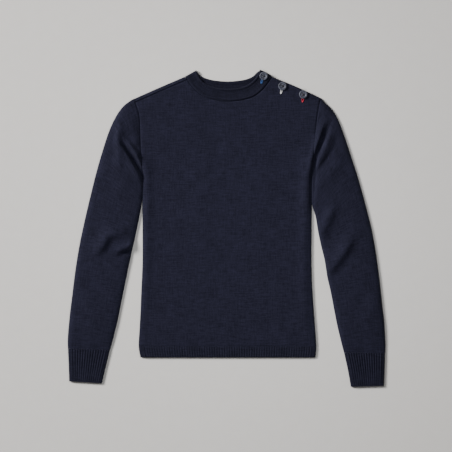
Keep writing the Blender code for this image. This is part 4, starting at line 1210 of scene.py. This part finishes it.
NAVY_DARK, NAVY_LIGHT = (0.0103, 0.0107, 0.0225), (0.027, 0.0271, 0.0555)
RIB_DARK, RIB_LIGHT = (0.0086, 0.009, 0.0188), (0.0225, 0.0228, 0.0462)
BAND_DARK, BAND_LIGHT = (0.0076, 0.008, 0.0168), (0.0198, 0.02, 0.041)
wool = wool_group(stitches_group())
body_wool = wool_material("navy_stocking_stitch", wool, NAVY_DARK, NAVY_LIGHT)
rib_wool = wool_material("navy_rib_stitch", wool, RIB_DARK, RIB_LIGHT, wale=1.4)
band_wool = wool_material("navy_neckband_stitch", wool, BAND_DARK, BAND_LIGHT)
navy_thread = thread_material("navy_thread", (0.006, 0.007, 0.014), (0.016, 0.018, 0.032), rough=0.6)
THREADS = {
    "blue": thread_material("blue_thread", (0.006, 0.05, 0.2), (0.016, 0.12, 0.4)),
    "white": thread_material("white_thread", (0.78, 0.79, 0.82), (0.93, 0.93, 0.93)),
    "red": thread_material("red_thread", (0.5, 0.008, 0.035), (0.85, 0.018, 0.07)),
}
marbled = button_material()

# Each cloth piece, its node and slot, what it rests on, and its cut: width and length, and its area unless it
# is a rectangle
SLEEVE_CUT, CUFF_CUT, HEM_CUT = ((0.34, 0.56), 0.1), ((0.18, 0.07), 0.0115), ((0.377, 0.024), None)
pieces = [
    (front_panel(body_wool), "front_panel", "navy_knit", "back_panel_knit", ((0.40, 0.573), 0.197)),
    (back_panel(body_wool), "back_panel", "navy_knit", "floor", ((0.40, 0.61), 0.205)),
    (hem("front_hem_rib", True, rib_wool), "hem_front", "navy_rib", "back_hem_rib", HEM_CUT),
    (hem("back_hem_rib", False, rib_wool), "hem_back", "navy_rib", "floor", HEM_CUT),
]
for which, (hand, sections) in enumerate((("right", RIGHT_SLEEVE), ("left", LEFT_SLEEVE))):
    made = sleeve(f"{hand}_sleeve_knit", sections, which, body_wool)
    pieces.append((made, f"sleeve_{hand}", "navy_knit", "floor", SLEEVE_CUT))
for hand, sections in (("right", RIGHT_CUFF), ("left", LEFT_CUFF)):
    made = cuff(f"{hand}_cuff_rib", sections, rib_wool)
    pieces.append((made, f"cuff_{hand}", "navy_rib", "floor", CUFF_CUT))
pieces.append((neckband(band_wool), "neckband", "navy_knit", "floor", ((0.44, 0.03), None)))
for piece, node, slot, under, (size, area) in pieces:
    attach(piece, "root")
    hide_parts(node)

for spec in BUTTONS:
    turned = button(spec, marbled)
    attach(turned, "root")
    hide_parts(f"button_{spec.name}")
    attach(button_thread(spec, navy_thread), "root")
    bound = buttonhole(spec, THREADS[spec.thread])
    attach(bound, "root")
    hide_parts(f"buttonhole_{spec.thread}")

pale_floor()
lights_and_camera()
